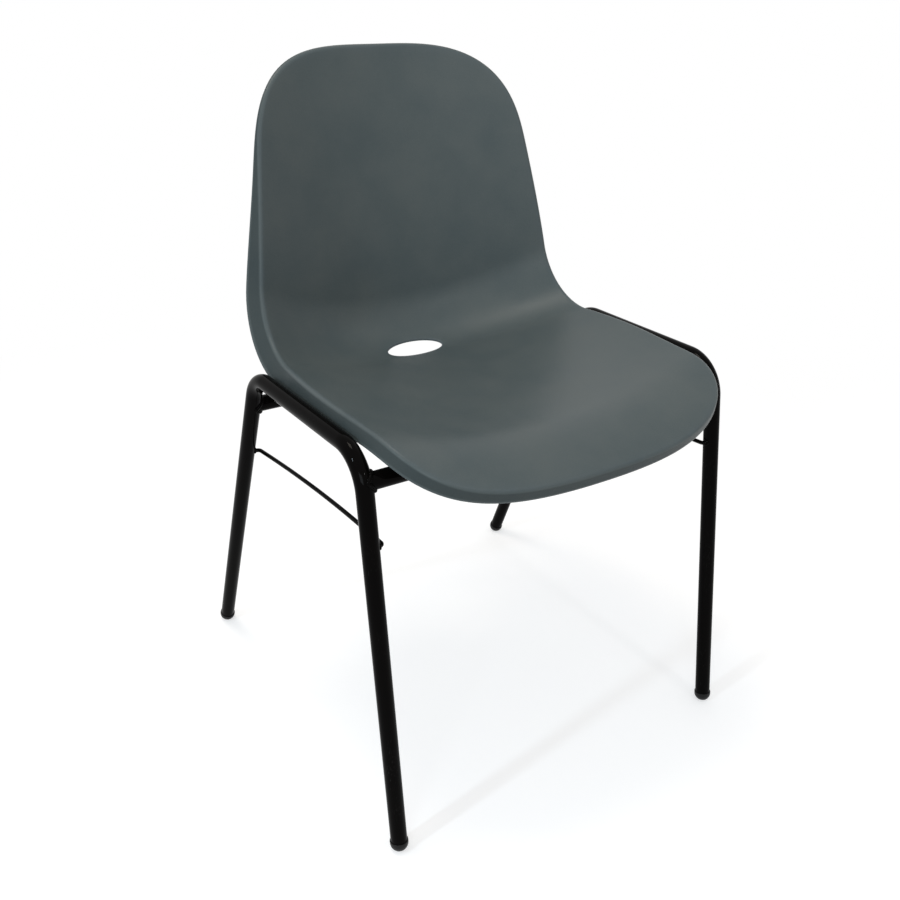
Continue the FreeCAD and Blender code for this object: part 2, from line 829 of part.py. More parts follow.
def make_shell_screw(end, side):
    """A pan-head screw with a hexagon socket, put in from below."""
    label = f"shell_screw_{end}_{side}"
    shank = size("screw_diameter") / 2
    head = size("screw_head_diameter") / 2
    height = size("screw_head_height")
    corner = size("screw_head_corner")
    length = size("screw_length")
    rim = Vector(head, corner - height, 0)
    crown = Vector(head - corner, -height, 0)
    diagonal = corner * math.sqrt(0.5)
    round_middle = Vector(crown.x + diagonal, rim.y - diagonal, 0)
    outline = polyline([Vector(0, length, 0), Vector(size("screw_point_diameter") / 2, length, 0),
                        Vector(shank, length - shank, 0), Vector(shank, 0, 0),
                        Vector(head, 0, 0), rim])
    outline.append(Part.Arc(rim, round_middle, crown))
    outline += polyline([crown, Vector(0, -height, 0), Vector(0, length, 0)])
    body = turned_body(f"{label}_blank", outline)
    socket = DOC.addObject("Part::Prism", f"{label}_socket")
    socket.Polygon = 6
    socket.setExpression("Circumradius", "sizes.screw_socket_width / sqrt(3)")
    socket.setExpression("Height", "2 * sizes.screw_socket_depth")
    place = screw_places(end)[side] - Vector(0, 0, screw_seat_drop())
    body.Placement = Placement(place, Rotation())
    sunk = height + size("screw_socket_depth")
    socket.Placement = Placement(place - Vector(0, 0, sunk), Rotation())
    return keep(cut(label, body, [socket]), label)


def build():
    fill_sheet()
    make_seat_shell()
    for side in SIDES:
        make_side_frame(side)
    wires = {side: make_side_wire(side) for side in SIDES}
    for end in ENDS:
        make_cross_tube(end)
        for side in SIDES:
            make_cross_weld(end, side)
            make_wire_weld(end, side, wires[side])
            make_foot_cap(end, side)
            make_saddle_washer(end, side)
            make_shell_screw(end, side)
    DOC.recompute()


def check():
    """Stop before anything is written if an object failed or a piece isn't sound."""
    for item in DOC.Objects:
        faults = {"Invalid", "Error"} & set(item.State)
        if faults:
            raise RuntimeError(f"{item.Label}: {sorted(faults)}")
    for piece in PIECES:
        shape = piece.Shape
        if shape.isNull() or not shape.isValid() or shape.Volume <= 0:
            raise RuntimeError(f"{piece.Label}: not a sound solid")
        print(f"{piece.Label}: {len(shape.Solids)} solid, {shape.Volume:.0f} mm3")


def write():
    os.makedirs("parts", exist_ok=True)
    for piece in PIECES:
        piece.Shape.exportStep(f"parts/{piece.Label}.step")


build()
check()
write()
box = Part.makeCompound([piece.Shape for piece in PIECES]).optimalBoundingBox()
print(f"box {box.XMin:.2f} {box.YMin:.2f} {box.ZMin:.2f} to {box.XMax:.2f} {box.YMax:.2f} {box.ZMax:.2f}")
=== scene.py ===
"""A stacking shell chair, dressed: moulded shell, bent tube frame, welds and foot caps.

Metres, +Z up. The sitter faces -Y and the sitter's left is +X.
"""
import math

import bmesh
import bpy
import numpy as np
from mathutils import Matrix, Vector


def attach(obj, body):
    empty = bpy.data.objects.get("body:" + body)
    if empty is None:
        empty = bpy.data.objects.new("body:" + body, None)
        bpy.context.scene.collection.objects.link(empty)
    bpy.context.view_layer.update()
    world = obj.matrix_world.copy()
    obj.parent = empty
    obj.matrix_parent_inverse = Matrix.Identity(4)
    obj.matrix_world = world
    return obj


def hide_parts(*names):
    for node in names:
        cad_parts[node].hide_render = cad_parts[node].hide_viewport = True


bl_info = {
    "name": "Shell chair",
    "version": (1, 0, 0),
    "blender": (4, 5, 0),
    "location": "3D View > Sidebar > Chair",
    "description": "Builds a stacking chair with a moulded shell on a bent tube frame",
    "category": "Add Mesh",
}

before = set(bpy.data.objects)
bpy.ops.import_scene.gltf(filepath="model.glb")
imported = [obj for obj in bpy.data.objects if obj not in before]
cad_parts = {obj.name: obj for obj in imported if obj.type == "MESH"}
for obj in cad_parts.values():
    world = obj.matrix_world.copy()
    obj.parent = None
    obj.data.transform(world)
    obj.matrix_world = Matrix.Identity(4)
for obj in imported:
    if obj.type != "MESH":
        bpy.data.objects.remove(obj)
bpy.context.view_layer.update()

SIDES = {"left": 1, "right": -1}
ENDS = ("front", "rear")
LEGS = [(end, side) for end in ENDS for side in SIDES]
BODY = "root"
MM = 0.001
SAME_PLACE = 0.01 * MM
HALVINGS = 40
SHARP_ANGLE = math.radians(35)
REGIONS = "at the front, seat, bend, back and top"
VIEWS = "in the middle and at the side"

# How finely round things are divided.
CROSS_WELD_POINTS = 72
WIRE_WELD_POINTS = 24
WIRE_SIDES = 24
CAP_SIDES = 56
FLOOR_SIDES = 96

# How worn the stretches of the shell's skin are. A negative level paints shade on the clean
# outside of the lip, darker than the faces on top, and the rounded edge's level is wear and a
# painted highlight along the crease.
PAINTED_SHADE_LIP = -1
UNWORN = 0
RUBBED_NEAR_EDGE = 0.3
RUBBED_NEAR_HOLE = 0.5
RUBBED_AND_HIGHLIT_EDGE = 0.6
RUBBED_LIP_END = 0.3
RUBBED_LIP_INSIDE = 0.1
RUBBED_RIM_BACK = 0.5
RUBBED_RIM_FRONT = 0.8


def number_property(value, description, scale=1.0, **settings):
    """A property for one number, or for a row of numbers."""
    if isinstance(value, tuple):
        return bpy.props.FloatVectorProperty(
            description=description, size=len(value),
            default=[part * scale for part in value], **settings)
    return bpy.props.FloatProperty(description=description, default=value * scale, **settings)


def named(group):
    """Name each property of a group after its identifier."""
    for key, deferred in group.__annotations__.items():
        deferred.keywords["name"] = key.replace("_", " ").capitalize()
    return group


def length(millimetres, description):
    return number_property(millimetres, description, MM, unit="LENGTH", precision=4)


def turn(degrees, description):
    return number_property(degrees, description, math.pi / 180, unit="ROTATION")


def colour(rgb, description):
    return number_property(rgb, description, min=0, max=1, subtype="COLOR")


def watts(power, description):
    return number_property(power, description, min=0, unit="POWER")


@named
class ShellSizes(bpy.types.PropertyGroup):
    """Sizes of the moulded seat and back."""
    thickness: length(4, "Thickness of the moulded wall")
    edge_radius: length(5, "Radius where the wall turns down into its lip")
    lip_end_radius: length(1.2, "Rounding of the lip's end")
    hole_rim_radius: length(1.8, "Rounding of the hand hole's rim")
    hole_half_width: length(40, "Half width of the hand hole")
    hole_half_height: length(16, "Half height of the hand hole")
    hole_above_bend: length(22, "From the seat's end to the hole's middle")
    bend_back: length((97.7, 41.7), f"Where the seat ends, {VIEWS}")
    bend_height: length((430.5, 471), f"Height of the seat there, {VIEWS}")
    seat_tilt: turn((4.2, 1), f"How far the seat falls backwards, {VIEWS}")
    recline: turn((5, 5), f"Lean of the back at its foot, {VIEWS}")
    bend_radius: length((68, 79), f"Bend from seat to back, {VIEWS}")
    seat_run: length((284, 205), f"Straight part of the seat, {VIEWS}")
    back_run: length((310.5, 270.5), f"Length of the back, {VIEWS}")
    roll_radius: length((128, 135), f"Radius of the front roll, {VIEWS}")
    roll_angle: turn((41.7, 48.7), f"Turn of the front roll, {VIEWS}")
    back_bow: turn((6.5, 9.5), f"How far the back bows rearwards, {VIEWS}")
    side_profile_offset: length(200, "From the middle to the side profile")
    half_widths: length((218, 222, 213.6, 189.2, 170), f"Half widths {REGIONS}")
    lip_depths: length((17.3, 23.1, 26.5, 10.5, 5), f"Depths of the lip {REGIONS}")
    lip_flares: turn((13, -4, -0.9, 7, 5), f"Flares of the lip {REGIONS}")
    front_corner_length: length(114.3, "Length of the rounded front corners")
    top_corner_length: length(158, "Length of the rounded top corners")
    corner_squareness: number_property(3.25, "2 is elliptic, more is squarer")
    mount_half_spacing: length(130, "From the middle to a saddle block")
    saddle_width: length(24, "Width of a saddle block")
    saddle_length: length(30, "Length of a saddle block")
    saddle_clearance: length(0.2, "Gap between a block and its tube")
    saddle_rounding: length(0.8, "Rounding of a saddle block's edges")


@named
class FrameSizes(bpy.types.PropertyGroup):
    """Sizes of the bent tube frame, its wires, welds and foot caps."""
    tube_diameter: length(19, "Outside of the frame's tube")
    tube_wall: length(1.5, "Wall of the frame's tube")
    half_width: length(241.6, "From the middle to a side frame at the ground")
    toe_in: turn(1.2, "Turn of the side frames towards the front")
    lean: turn(0.2, "Lean of the side frames towards the middle")
    feet_middle_back: length(9.7, "Middle of the feet behind the origin")
    front_foot_reach: length(255.7, "From the feet's middle forwards")
    rear_foot_reach: length(254.9, "From the feet's middle backwards")
    front_bend_reach: length(191.5, "From the feet's middle forwards")
    rear_bend_reach: length(58.6, "From the feet's middle backwards")
    front_bend_height: length(465.5, "Corner of the front bend")
    rear_bend_height: length(460, "Corner of the rear bend")
    bend_radius: length(45, "Radius of the tube's bends")
    front_cross_height: length(436.5, "Axis of the front cross tube")
    rear_cross_height: length(417.3, "Axis of the rear cross tube")
    wire_diameter: length(5, "Diameter of the side wires")
    wire_front_height: length(368.5, "Where a wire meets a front leg")
    wire_rear_height: length(343.2, "Where a wire meets a rear leg")
    wire_standoff: length(13.5, "From the legs' plane in to the wire")
    wire_bow: length(4.4, "How far a wire bows inwards")
    wire_bow_share: number_property(0.9, "Share of a wire's length that is bowed",
                                    min=0, max=1, subtype="FACTOR")
    wire_past_front_leg: length(2, "Bend beyond the front leg's axis")
    wire_before_rear_leg: length(8, "Bend before the rear leg's axis")
    wire_bend_radius: length(5, "Bends near a wire's ends")
    weld_radius: length(2.6, "Bead round the end of a cross tube")
    weld_ripple: length(1.9, "Distance between the ripples of a bead")
    wire_weld_radius: length(1.5, "Bead round the end of a wire")
    cap_diameter: length(21, "Outside of a foot cap")
    cap_collar: length(3, "Straight collar above a cap's round end")
    cap_flat_depth: length(1, "Depth of the flat under a cap")
    cap_plug_length: length(18, "Plug up the leg's bore")
    cap_plug_clearance: length(0.2, "Gap between plug and bore")
    cap_rounding: length(0.6, "Rounding of a cap's small edges")


@named
class FinishColours(bpy.types.PropertyGroup):
    """Colours of the chair's surfaces."""
    shell_dark: colour((0.066, 0.084, 0.087), "Darker shade of the shell")
    shell_light: colour((0.082, 0.098, 0.098), "Lighter shade of the shell")
    # Tint of wear, scuffs and dust, and also of the painted highlight along the rounded edge's
    # crease.
    shell_worn: colour((0.082, 0.105, 0.122), "Rubbed edges of the shell")
    # Painted shade on the outside of the lip, darker than the faces on top.
    shell_shade: colour((0.022, 0.028, 0.029), "Clean shade of the lip")
    paint: colour((0.0016, 0.0013, 0.0012), "Gloss paint of the frame")
    paint_worn: colour((0.03, 0.028, 0.026), "Rubbed paint of the frame")
    cap: colour((0.006, 0.006, 0.006), "Moulded foot caps")
    cap_scuffed: colour((0.07, 0.066, 0.06), "Foot caps near the ground")
    screw: colour((0.56, 0.56, 0.54), "Plated steel screws")
    washer: colour((0.02, 0.02, 0.02), "Moulded saddle washers")
    floor: colour((0.68, 0.68, 0.68), "Studio floor")


@named
class StageSettings(bpy.types.PropertyGroup):
    """Camera and studio."""
    camera_place: length((-601.65, -907.26, 877.07), "Where the camera stands")
    camera_azimuth: turn(-32.71, "Heading of the camera, 0 looks along +Y")
    camera_elevation: turn(26.586, "How far the camera looks down")
    camera_roll: turn(0.809, "Roll of the camera")
    lens: number_property(38.073, "Focal length in mm", unit="CAMERA")
    top_power: watts(15.5, "Watts of the warm light overhead")
    window_power: watts(11, "Watts of the cool light from the side")
    front_power: watts(3, "Watts of the light beside the camera")
    low_power: watts(18.5, "Watts of the broad light facing the back")
    room_strength: number_property(0.56, "Level of the even light all round")


# Node trees: helpers for shaders and geometry alike.

def add(tree, kind, inputs=None, **settings):
    """A node with its settings; each input is a value, a socket or a node's first output.

    Inputs go by name, or by number where several share a name.
    """
    node = tree.nodes.new(kind)
    for name, value in settings.items():
        setattr(node, name, value)
    for name, value in (inputs or {}).items():
        if isinstance(value, bpy.types.Node):
            value = value.outputs[0]
        if isinstance(value, bpy.types.NodeSocket):
            tree.links.new(value, node.inputs[name])
        else:
            node.inputs[name].default_value = value
    return node


def new_group(name, tree_type, inputs, outputs):
    """A node group, the sockets that it is given and the sockets that it fills.

    Sockets are listed as (name, kind), and often a default.
    """
    group = bpy.data.node_groups.new(name, tree_type)
    for in_out, sockets in (("INPUT", inputs), ("OUTPUT", outputs)):
        for title, kind, *default in sockets:
            item = group.interface.new_socket(title, in_out=in_out,
                                              socket_type=f"NodeSocket{kind}")
            if default:
                item.default_value = default[0]
    return group, add(group, "NodeGroupInput").outputs, add(group, "NodeGroupOutput").inputs


def maths(tree, operation, *values):
    return add(tree, "ShaderNodeMath", dict(enumerate(values)), operation=operation).outputs[0]


def map_range(tree, value, low, high, to_low=0.0, to_high=1.0):
    """The value brought from one range to another, clamped at its ends."""
    node = add(tree, "ShaderNodeMapRange",
               {"Value": value, "From Min": low, "From Max": high,
                "To Min": to_low, "To Max": to_high})
    return node.outputs["Result"]


def mix_colour(tree, factor, *ends):
    """A colour between two, each an RGB triple or another node's output."""
    first, second = (end if isinstance(end, bpy.types.NodeSocket) else (*end, 1.0)
                     for end in ends)
    node = add(tree, "ShaderNodeMix", {0: factor, 6: first, 7: second}, data_type="RGBA")
    return node.outputs[2]


def noise(tree, place, scale, detail, roughness=0.5):
    node = add(tree, "ShaderNodeTexNoise", {"Vector": place, "Scale": scale, "Detail": detail,
                                            "Roughness": roughness})
    return node.outputs["Fac"]


def shaded(rgb, level):
    return tuple(level * part for part in rgb)


# Effects that several materials share.

def grain_group():
    """Fine moulded or sprayed grain, and a slow drift of shade over the surface."""
    group, given, result = new_group(
        "surface_grain", "ShaderNodeTree",
        [("Place", "Vector"), ("Grain Size", "Float", 0.001), ("Drift Size", "Float", 0.05)],
        [("Height", "Float"), ("Drift", "Float")])
    fine_scale = maths(group, "DIVIDE", 1.0, given["Grain Size"])
    drift_scale = maths(group, "DIVIDE", 1.0, given["Drift Size"])
    fine = noise(group, given["Place"], scale=fine_scale, detail=3.0, roughness=0.6)
    pits = add(group, "ShaderNodeTexVoronoi", {"Vector": given["Place"], "Scale": fine_scale})
    height = maths(group, "MULTIPLY_ADD", pits.outputs["Distance"], 0.4, fine)
    drift = noise(group, given["Place"], scale=drift_scale, detail=4.0, roughness=0.55)
    group.links.new(height, result["Height"])
    group.links.new(map_range(group, drift, 0.3, 0.7), result["Drift"])
    return group


def scuff_group():
    """Fine scratches that run mostly one way, in patches."""
    group, given, result = new_group(
        "fine_scuffs", "ShaderNodeTree",
        [("Place", "Vector"), ("Stretch", "Vector", (1, 1, 1)),
         ("Width", "Float", 0.0008), ("Amount", "Float", 0.5)],
        [("Mask", "Float")])
    stretched = add(group, "ShaderNodeVectorMath",
                    {0: given["Place"], 1: given["Stretch"]}, operation="MULTIPLY")
    line_scale = maths(group, "DIVIDE", 1.0, given["Width"])
    lines = noise(group, stretched, scale=line_scale, detail=2.0, roughness=0.7)
    patches = noise(group, given["Place"], scale=14.0, detail=3.0, roughness=0.6)
    mask = maths(group, "MULTIPLY", map_range(group, lines, 0.60, 0.70),
                 map_range(group, patches, 0.48, 0.68))
    group.links.new(maths(group, "MULTIPLY", mask, given["Amount"]), result["Mask"])
    return group


def dust_group():
    """Faint dust on what faces up."""
    group, given, result = new_group(
        "settled_dust", "ShaderNodeTree",
        [("Place", "Vector"), ("Amount", "Float", 0.1)], [("Mask", "Float")])
    facing = add(group, "ShaderNodeNewGeometry").outputs["Normal"]
    up = add(group, "ShaderNodeSeparateXYZ", {0: facing}).outputs["Z"]
    patches = noise(group, given["Place"], scale=22.0, detail=5.0, roughness=0.65)
    mask = maths(group, "MULTIPLY", map_range(group, up, 0.3, 1.0),
                 map_range(group, patches, 0.4, 0.75, 0.2, 1.0))
    group.links.new(maths(group, "MULTIPLY", mask, given["Amount"]), result["Mask"])
    return group


class Finish:
    """A material being built around one Principled shader, on Object coordinates."""

    def __init__(self, name, constants):
        self.material = bpy.data.materials.new(name)
        self.material.use_nodes = True
        self.tree = self.material.node_tree
        self.shader = self.tree.nodes["Principled BSDF"]
        for socket, value in constants.items():
            self.shader.inputs[socket].default_value = value
        self.place = add(self.tree, "ShaderNodeTexCoord").outputs["Object"]

    def feed(self, socket, output):
        self.tree.links.new(output, self.shader.inputs[socket])

    def effect(self, name, make, inputs):
        """The outputs of a shared effect, at the sizes that this finish needs."""
        return add(self.tree, "ShaderNodeGroup", {"Place": self.place, **inputs},
                   node_tree=bpy.data.node_groups.get(name) or make()).outputs

    def grain(self, size, drift_size, depth, strength):
        """Bump the surface with grain. Returns the grain's height and the drift of shade."""
        grain = self.effect("surface_grain", grain_group,
                            {"Grain Size": size, "Drift Size": drift_size})
        bump = add(self.tree, "ShaderNodeBump",
                   {"Height": grain["Height"], "Distance": depth, "Strength": strength})
        self.feed("Normal", bump.outputs["Normal"])
        return grain["Height"], grain["Drift"]

    def scuffs(self, stretch, width, amount):
        return self.effect("fine_scuffs", scuff_group,
                           {"Stretch": stretch, "Width": width, "Amount": amount})["Mask"]

    def dust(self, amount):
        return self.effect("settled_dust", dust_group, {"Amount": amount})["Mask"]

    def roughness(self, drift, least, most, worn=0.0, added=0.0):
        """Roughness that drifts between two levels, with some added where it is worn."""
        level = map_range(self.tree, drift, 0.0, 1.0, least, most)
        self.feed("Roughness", maths(self.tree, "MULTIPLY_ADD", worn, added, level))


def shell_finish(colours, name):
    """Moulded plastic: fine grain, slow drift of shade, worn edges with a painted highlight along
    the crease, and a clean lip darkened by painted shade.
    """
    finish = Finish(name, {"IOR": 1.45})
    tree = finish.tree
    height, drift = finish.grain(size=0.0014, drift_size=0.07, depth=0.0002, strength=0.6)
    scuffs = finish.scuffs(stretch=(1.0, 0.12, 0.3), width=0.0011, amount=0.5)
    edge = add(tree, "ShaderNodeAttribute", attribute_name="edge").outputs["Fac"]
    broken = noise(tree, finish.place, scale=90.0, detail=4.0, roughness=0.7)
    # Worn edges and hole rim, plus a painted highlight along the rounded edge's crease.
    rub_and_crease_highlight = maths(tree, "MULTIPLY", edge, map_range(tree, broken, 0.35, 0.7, 0.1, 0.5))
    # The lip mask: painted shade on the outside of the lip, from the negative levels.
    lip = map_range(tree, edge, UNWORN, PAINTED_SHADE_LIP)
    speckle = map_range(tree, height, 0.45, 1.0, -0.25, 0.25)
    worn = maths(tree, "MAXIMUM", maths(tree, "MULTIPLY", scuffs, 0.35), finish.dust(0.05))
    base = mix_colour(tree, maths(tree, "ADD", drift, speckle),
                      colours.shell_dark, colours.shell_light)
    base = mix_colour(tree, rub_and_crease_highlight, base, colours.shell_worn)
    base = mix_colour(tree, worn, base, colours.shell_worn)
    # Painted shade darkens the outside of the lip.
    base = mix_colour(tree, maths(tree, "MULTIPLY", lip, 0.45), base, colours.shell_shade)
    finish.feed("Base Color", base)
    # Less sheen on the lip as well, which deepens its painted shade.
    finish.feed("Specular IOR Level", map_range(tree, lip, 0.0, 1.0, 0.2, 0.06))
    finish.roughness(drift, least=0.34, most=0.42, worn=scuffs, added=0.12)
    return finish.material


def paint_finish(colours, name):
    """Gloss paint on steel tube, with orange peel and a few rubs."""
    finish = Finish(name, {"IOR": 1.45, "Specular IOR Level": 0.035})
    _, drift = finish.grain(size=0.0035, drift_size=0.04, depth=0.00003, strength=0.6)
    scuffs = finish.scuffs(stretch=(1.0, 1.0, 0.15), width=0.0009, amount=0.6)
    worn = maths(finish.tree, "MAXIMUM", scuffs, finish.dust(0.04))
    finish.feed("Base Color", mix_colour(finish.tree, worn, colours.paint, colours.paint_worn))
    finish.roughness(drift, least=0.035, most=0.07, worn=worn, added=0.3)
    return finish.material


def cap_finish(colours, name):
    """Moulded foot caps, scuffed where they meet the ground."""
    finish = Finish(name, {"IOR": 1.45, "Specular IOR Level": 0.2})
    tree = finish.tree
    _, drift = finish.grain(size=0.0007, drift_size=0.012, depth=0.00006, strength=0.6)
    height = add(tree, "ShaderNodeSeparateXYZ", {0: finish.place}).outputs["Z"]
    low = map_range(tree, height, 0.0005, 0.007, 1.0, 0.0)
    broken = noise(tree, finish.place, scale=260.0, detail=4.0, roughness=0.65)
    scuffed = maths(tree, "MULTIPLY", low, map_range(tree, broken, 0.35, 0.65, 0.2, 1.0))
    finish.feed("Base Color", mix_colour(tree, scuffed, colours.cap, colours.cap_scuffed))
    finish.roughness(drift, least=0.36, most=0.46, worn=scuffed, added=0.25)
    return finish.material


def screw_finish(colours, name):
    """Plated steel, turned: faint dull patches and fine marks."""
    finish = Finish(name, {"Metallic": 1.0})
    _, drift = finish.grain(size=0.0004, drift_size=0.004, depth=0.00002, strength=0.5)
    scuffs = finish.scuffs(stretch=(1.0, 1.0, 0.1), width=0.0003, amount=0.7)
    dull = shaded(colours.screw, 0.72)
    finish.feed("Base Color", mix_colour(finish.tree, drift, dull, colours.screw))
    finish.roughness(drift, least=0.26, most=0.40, worn=scuffs, added=0.2)
    return finish.material


def washer_finish(colours, name):
    """Moulded nylon washers."""
    finish = Finish(name, {"IOR": 1.53})
    _, drift = finish.grain(size=0.0006, drift_size=0.006, depth=0.00005, strength=0.5)
    pale = shaded(colours.washer, 1.8)
    finish.feed("Base Color", mix_colour(finish.tree, drift, colours.washer, pale))
    finish.roughness(drift, least=0.42, most=0.55)
    return finish.material


FINISHES = {"shell": ("shell_plastic", shell_finish), "frame": ("frame_paint", paint_finish),
            "foot_cap": ("cap_plastic", cap_finish), "screw": ("screw_steel", screw_finish),
            "washer": ("washer_nylon", washer_finish)}


def finish_for(context, slot):
    """The material of a slot, made the first time that it is asked for."""
    name, make = FINISHES[slot]
    return bpy.data.materials.get(name) or make(context.scene.chair_colours, name)


# Meshes.

def new_piece(name, points, faces, material=None, edges=()):
    """An object at the origin whose place is in its mesh."""
    mesh = bpy.data.meshes.new(name)
    mesh.from_pydata([tuple(point) for point in points], list(edges), list(faces))
    if material:
        mesh.materials.append(material)
    mesh.shade_smooth()
    piece = bpy.data.objects.new(name, mesh)
    bpy.context.collection.objects.link(piece)
    return piece


def turn_outwards(work):
    """Point the faces of one closed skin outwards, so that it holds a positive volume."""
    bmesh.ops.recalc_face_normals(work, faces=work.faces)
    if work.calc_volume(signed=True) < 0:
        bmesh.ops.reverse_faces(work, faces=work.faces)


def outward(mesh):
    """Merge what lies in one place, then point every face outwards."""
    work = bmesh.new()
    work.from_mesh(mesh)
    bmesh.ops.remove_doubles(work, verts=work.verts, dist=SAME_PLACE)
    turn_outwards(work)
    work.to_mesh(mesh)
    work.free()


def ring_faces(rings, count, closed):
    """Quads between neighbouring rings of count points; closed joins the last to the first."""
    faces = []
    for ring in range(rings if closed else rings - 1):
        here = ring * count
        there = (ring + 1) % rings * count
        for number in range(count):
            after = (number + 1) % count
            faces.append((here + number, here + after, there + after, there + number))
    return faces


def around(count):
    """Angles all the way round, in equal steps."""
    return np.linspace(0, 2 * math.pi, count, endpoint=False)


def halved(low, high, is_below):
    """The place in a range up to which is_below holds, found by halving."""
    for _ in range(HALVINGS):
        middle = (low + high) / 2
        if is_below(middle):
            low = middle
        else:
            high = middle
    return middle


def finished(piece, node):
    """Ride on the chair's body and stand for the CAD node."""
    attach(piece, BODY)
    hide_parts(node)


# The shell's rule. Places on it are an offset across and a length along the middle profile.

def smooth_curve(places, values):
    """A cubic curve through values, whose end slopes follow the nearest four of them."""
    gaps = np.diff(places)
    count = len(places)
    matrix = np.eye(count)
    right = np.zeros(count)
    for end, near in ((0, slice(0, 4)), (count - 1, slice(count - 4, count))):
        cubic = np.polyfit(places[near], values[near], 3)
        right[end] = np.polyval(np.polyder(cubic), places[end])
    for row in range(1, count - 1):
        before, after = gaps[row - 1], gaps[row]
        matrix[row, row - 1:row + 2] = 1 / before, 2 / before + 2 / after, 1 / after
        right[row] = 3 * ((values[row] - values[row - 1]) / before ** 2
                          + (values[row + 1] - values[row]) / after ** 2)
    slopes = np.linalg.solve(matrix, right)

    def value(along):
        row = np.clip(np.searchsorted(places, along) - 1, 0, count - 2)
        gap = gaps[row]
        part = (along - places[row]) / gap
        rest = 1 - part
        return (values[row] * (1 + 2 * part) * rest ** 2
                + values[row + 1] * (3 - 2 * part) * part ** 2
                + slopes[row] * gap * part * rest ** 2
                - slopes[row + 1] * gap * rest * part ** 2)
    return value


class Profile:
    """A side view of the shell: front roll, straight seat, bend and slightly bowed back."""

    MIDDLE, SIDE = 0, 1

    def __init__(self, sizes, view):
        self.back = sizes.bend_back[view]
        self.height = sizes.bend_height[view]
        self.tilt = sizes.seat_tilt[view]
        self.turn = math.pi / 2 - sizes.recline[view] + self.tilt
        self.bend_radius = sizes.bend_radius[view]
        self.seat_run = sizes.seat_run[view]
        self.back_run = sizes.back_run[view]
        self.roll_radius = sizes.roll_radius[view]
        self.roll = sizes.roll_angle[view]
        self.bow = sizes.back_bow[view]

    def lengths(self):
        return [self.roll_radius * self.roll, self.seat_run,
                self.bend_radius * self.turn, self.back_run]

    def point(self, stage):
        """Back and height at a stage: 0 front lip, 1 seat, 2 bend, 3 back, 4 top edge."""
        forward = np.clip(2 - stage, 0, 1) * self.seat_run
        back = self.back - forward * math.cos(self.tilt)
        height = self.height + forward * math.sin(self.tilt)
        upright = self.turn - self.tilt
        arcs = (
            (-self.tilt, self.roll_radius, np.clip(1 - stage, 0, None) * self.roll),
            (-self.tilt, -self.bend_radius, np.clip(stage - 2, 0, 1) * self.turn),
            (upright, self.back_run / self.bow, -np.clip(stage - 3, 0, None) * self.bow),
        )
        for heading, radius, swing in arcs:
            back = back - radius * (np.sin(heading + swing) - math.sin(heading))
            height = height - radius * (math.cos(heading) - np.cos(heading + swing))
        return back, height


class ShellRule:
    """The sitter's side of the shell, between its middle and side profiles."""

    CURVE_POINTS = 400
    HALF_STEPS = 160
    STEP = 0.5 * MM

    def __init__(self, sizes):
        self.sizes = sizes
        self.middle = Profile(sizes, Profile.MIDDLE)
        self.side = Profile(sizes, Profile.SIDE)
        roll, seat, bend, back = self.middle.lengths()
        self.stations = np.array([-(roll + seat), -seat, 0, bend, bend + back])
        self.front = self.stations[0]
        self.top = self.stations[-1]
        self.places = np.array([self.front, self.front + sizes.front_corner_length, -seat / 2,
                                bend / 2, bend + back / 2, self.top])
        self.half_width = self.region_curve(sizes.half_widths)
        self.lip_depth = self.region_curve(sizes.lip_depths)
        self.lip_flare = self.region_curve(sizes.lip_flares)

    def region_curve(self, values):
        """A curve over the regions, level along the rounded front corners."""
        return smooth_curve(self.places, np.array([values[0], *values]))

    def point(self, places):
        """Cross sections are parabolas from the middle profile through the side one."""
        across, along = places[:, 0], places[:, 1]
        stage = np.interp(along, self.stations, range(5))
        beyond = along > self.top
        last = self.stations[4] - self.stations[3]
        stage = np.where(beyond, 4 + (along - self.top) / last, stage)
        before = self.stations[1] - self.stations[0]
        stage = np.where(along < self.front, (along - self.front) / before, stage)
        middle = self.middle.point(stage)
        side = self.side.point(stage)
        share_out = (across / self.sizes.side_profile_offset) ** 2
        return np.stack([across, middle[0] + (side[0] - middle[0]) * share_out,
                         middle[1] + (side[1] - middle[1]) * share_out], axis=1)

    def normal(self, places):
        """Unit normals on the sitter's side."""
        sideways = np.array([self.STEP, 0])
        onward = np.array([0, self.STEP])
        across = self.point(places + sideways) - self.point(places - sideways)
        along = self.point(places + onward) - self.point(places - onward)
        return unit(np.cross(across, along))

    def outline(self):
        """The whole outline, from the front middle round by the left, in equal steps."""
        power = 2 / self.sizes.corner_squareness
        front_end = self.front + self.sizes.front_corner_length
        top_start = self.top - self.sizes.top_corner_length
        quarter = np.linspace(0, math.pi / 2, self.CURVE_POINTS)
        along = np.concatenate([
            front_end - (front_end - self.front) * np.sin(quarter[::-1]) ** power,
            np.linspace(front_end, top_start, self.CURVE_POINTS)[1:-1],
            top_start + (self.top - top_start) * np.sin(quarter) ** power])
        shares = np.concatenate([np.clip(np.cos(quarter[::-1]), 0, 1) ** power,
                                 np.ones(self.CURVE_POINTS - 2),
                                 np.clip(np.cos(quarter), 0, 1) ** power])
        half = np.stack([self.half_width(along) * shares, along], axis=1)
        half[0, 0] = half[-1, 0] = 0
        travelled = np.concatenate([[0], np.cumsum(lengths(np.diff(half, axis=0)))])
        wanted = np.linspace(0, travelled[-1], self.HALF_STEPS + 1)
        even = np.stack([np.interp(wanted, travelled, half[:, axis]) for axis in (0, 1)], axis=1)
        return np.concatenate([even, (even * (-1, 1))[-2:0:-1]])


def lengths(vectors):
    return np.linalg.norm(vectors, axis=-1)


def unit(vectors):
    return vectors / lengths(vectors)[..., None]


def moved_inwards(outline, distance):
    """A closed flat outline moved inwards."""
    run = unit(np.roll(outline, -1, axis=0) - np.roll(outline, 1, axis=0))
    return outline + np.stack([-run[:, 1], run[:, 0]], axis=1) * distance


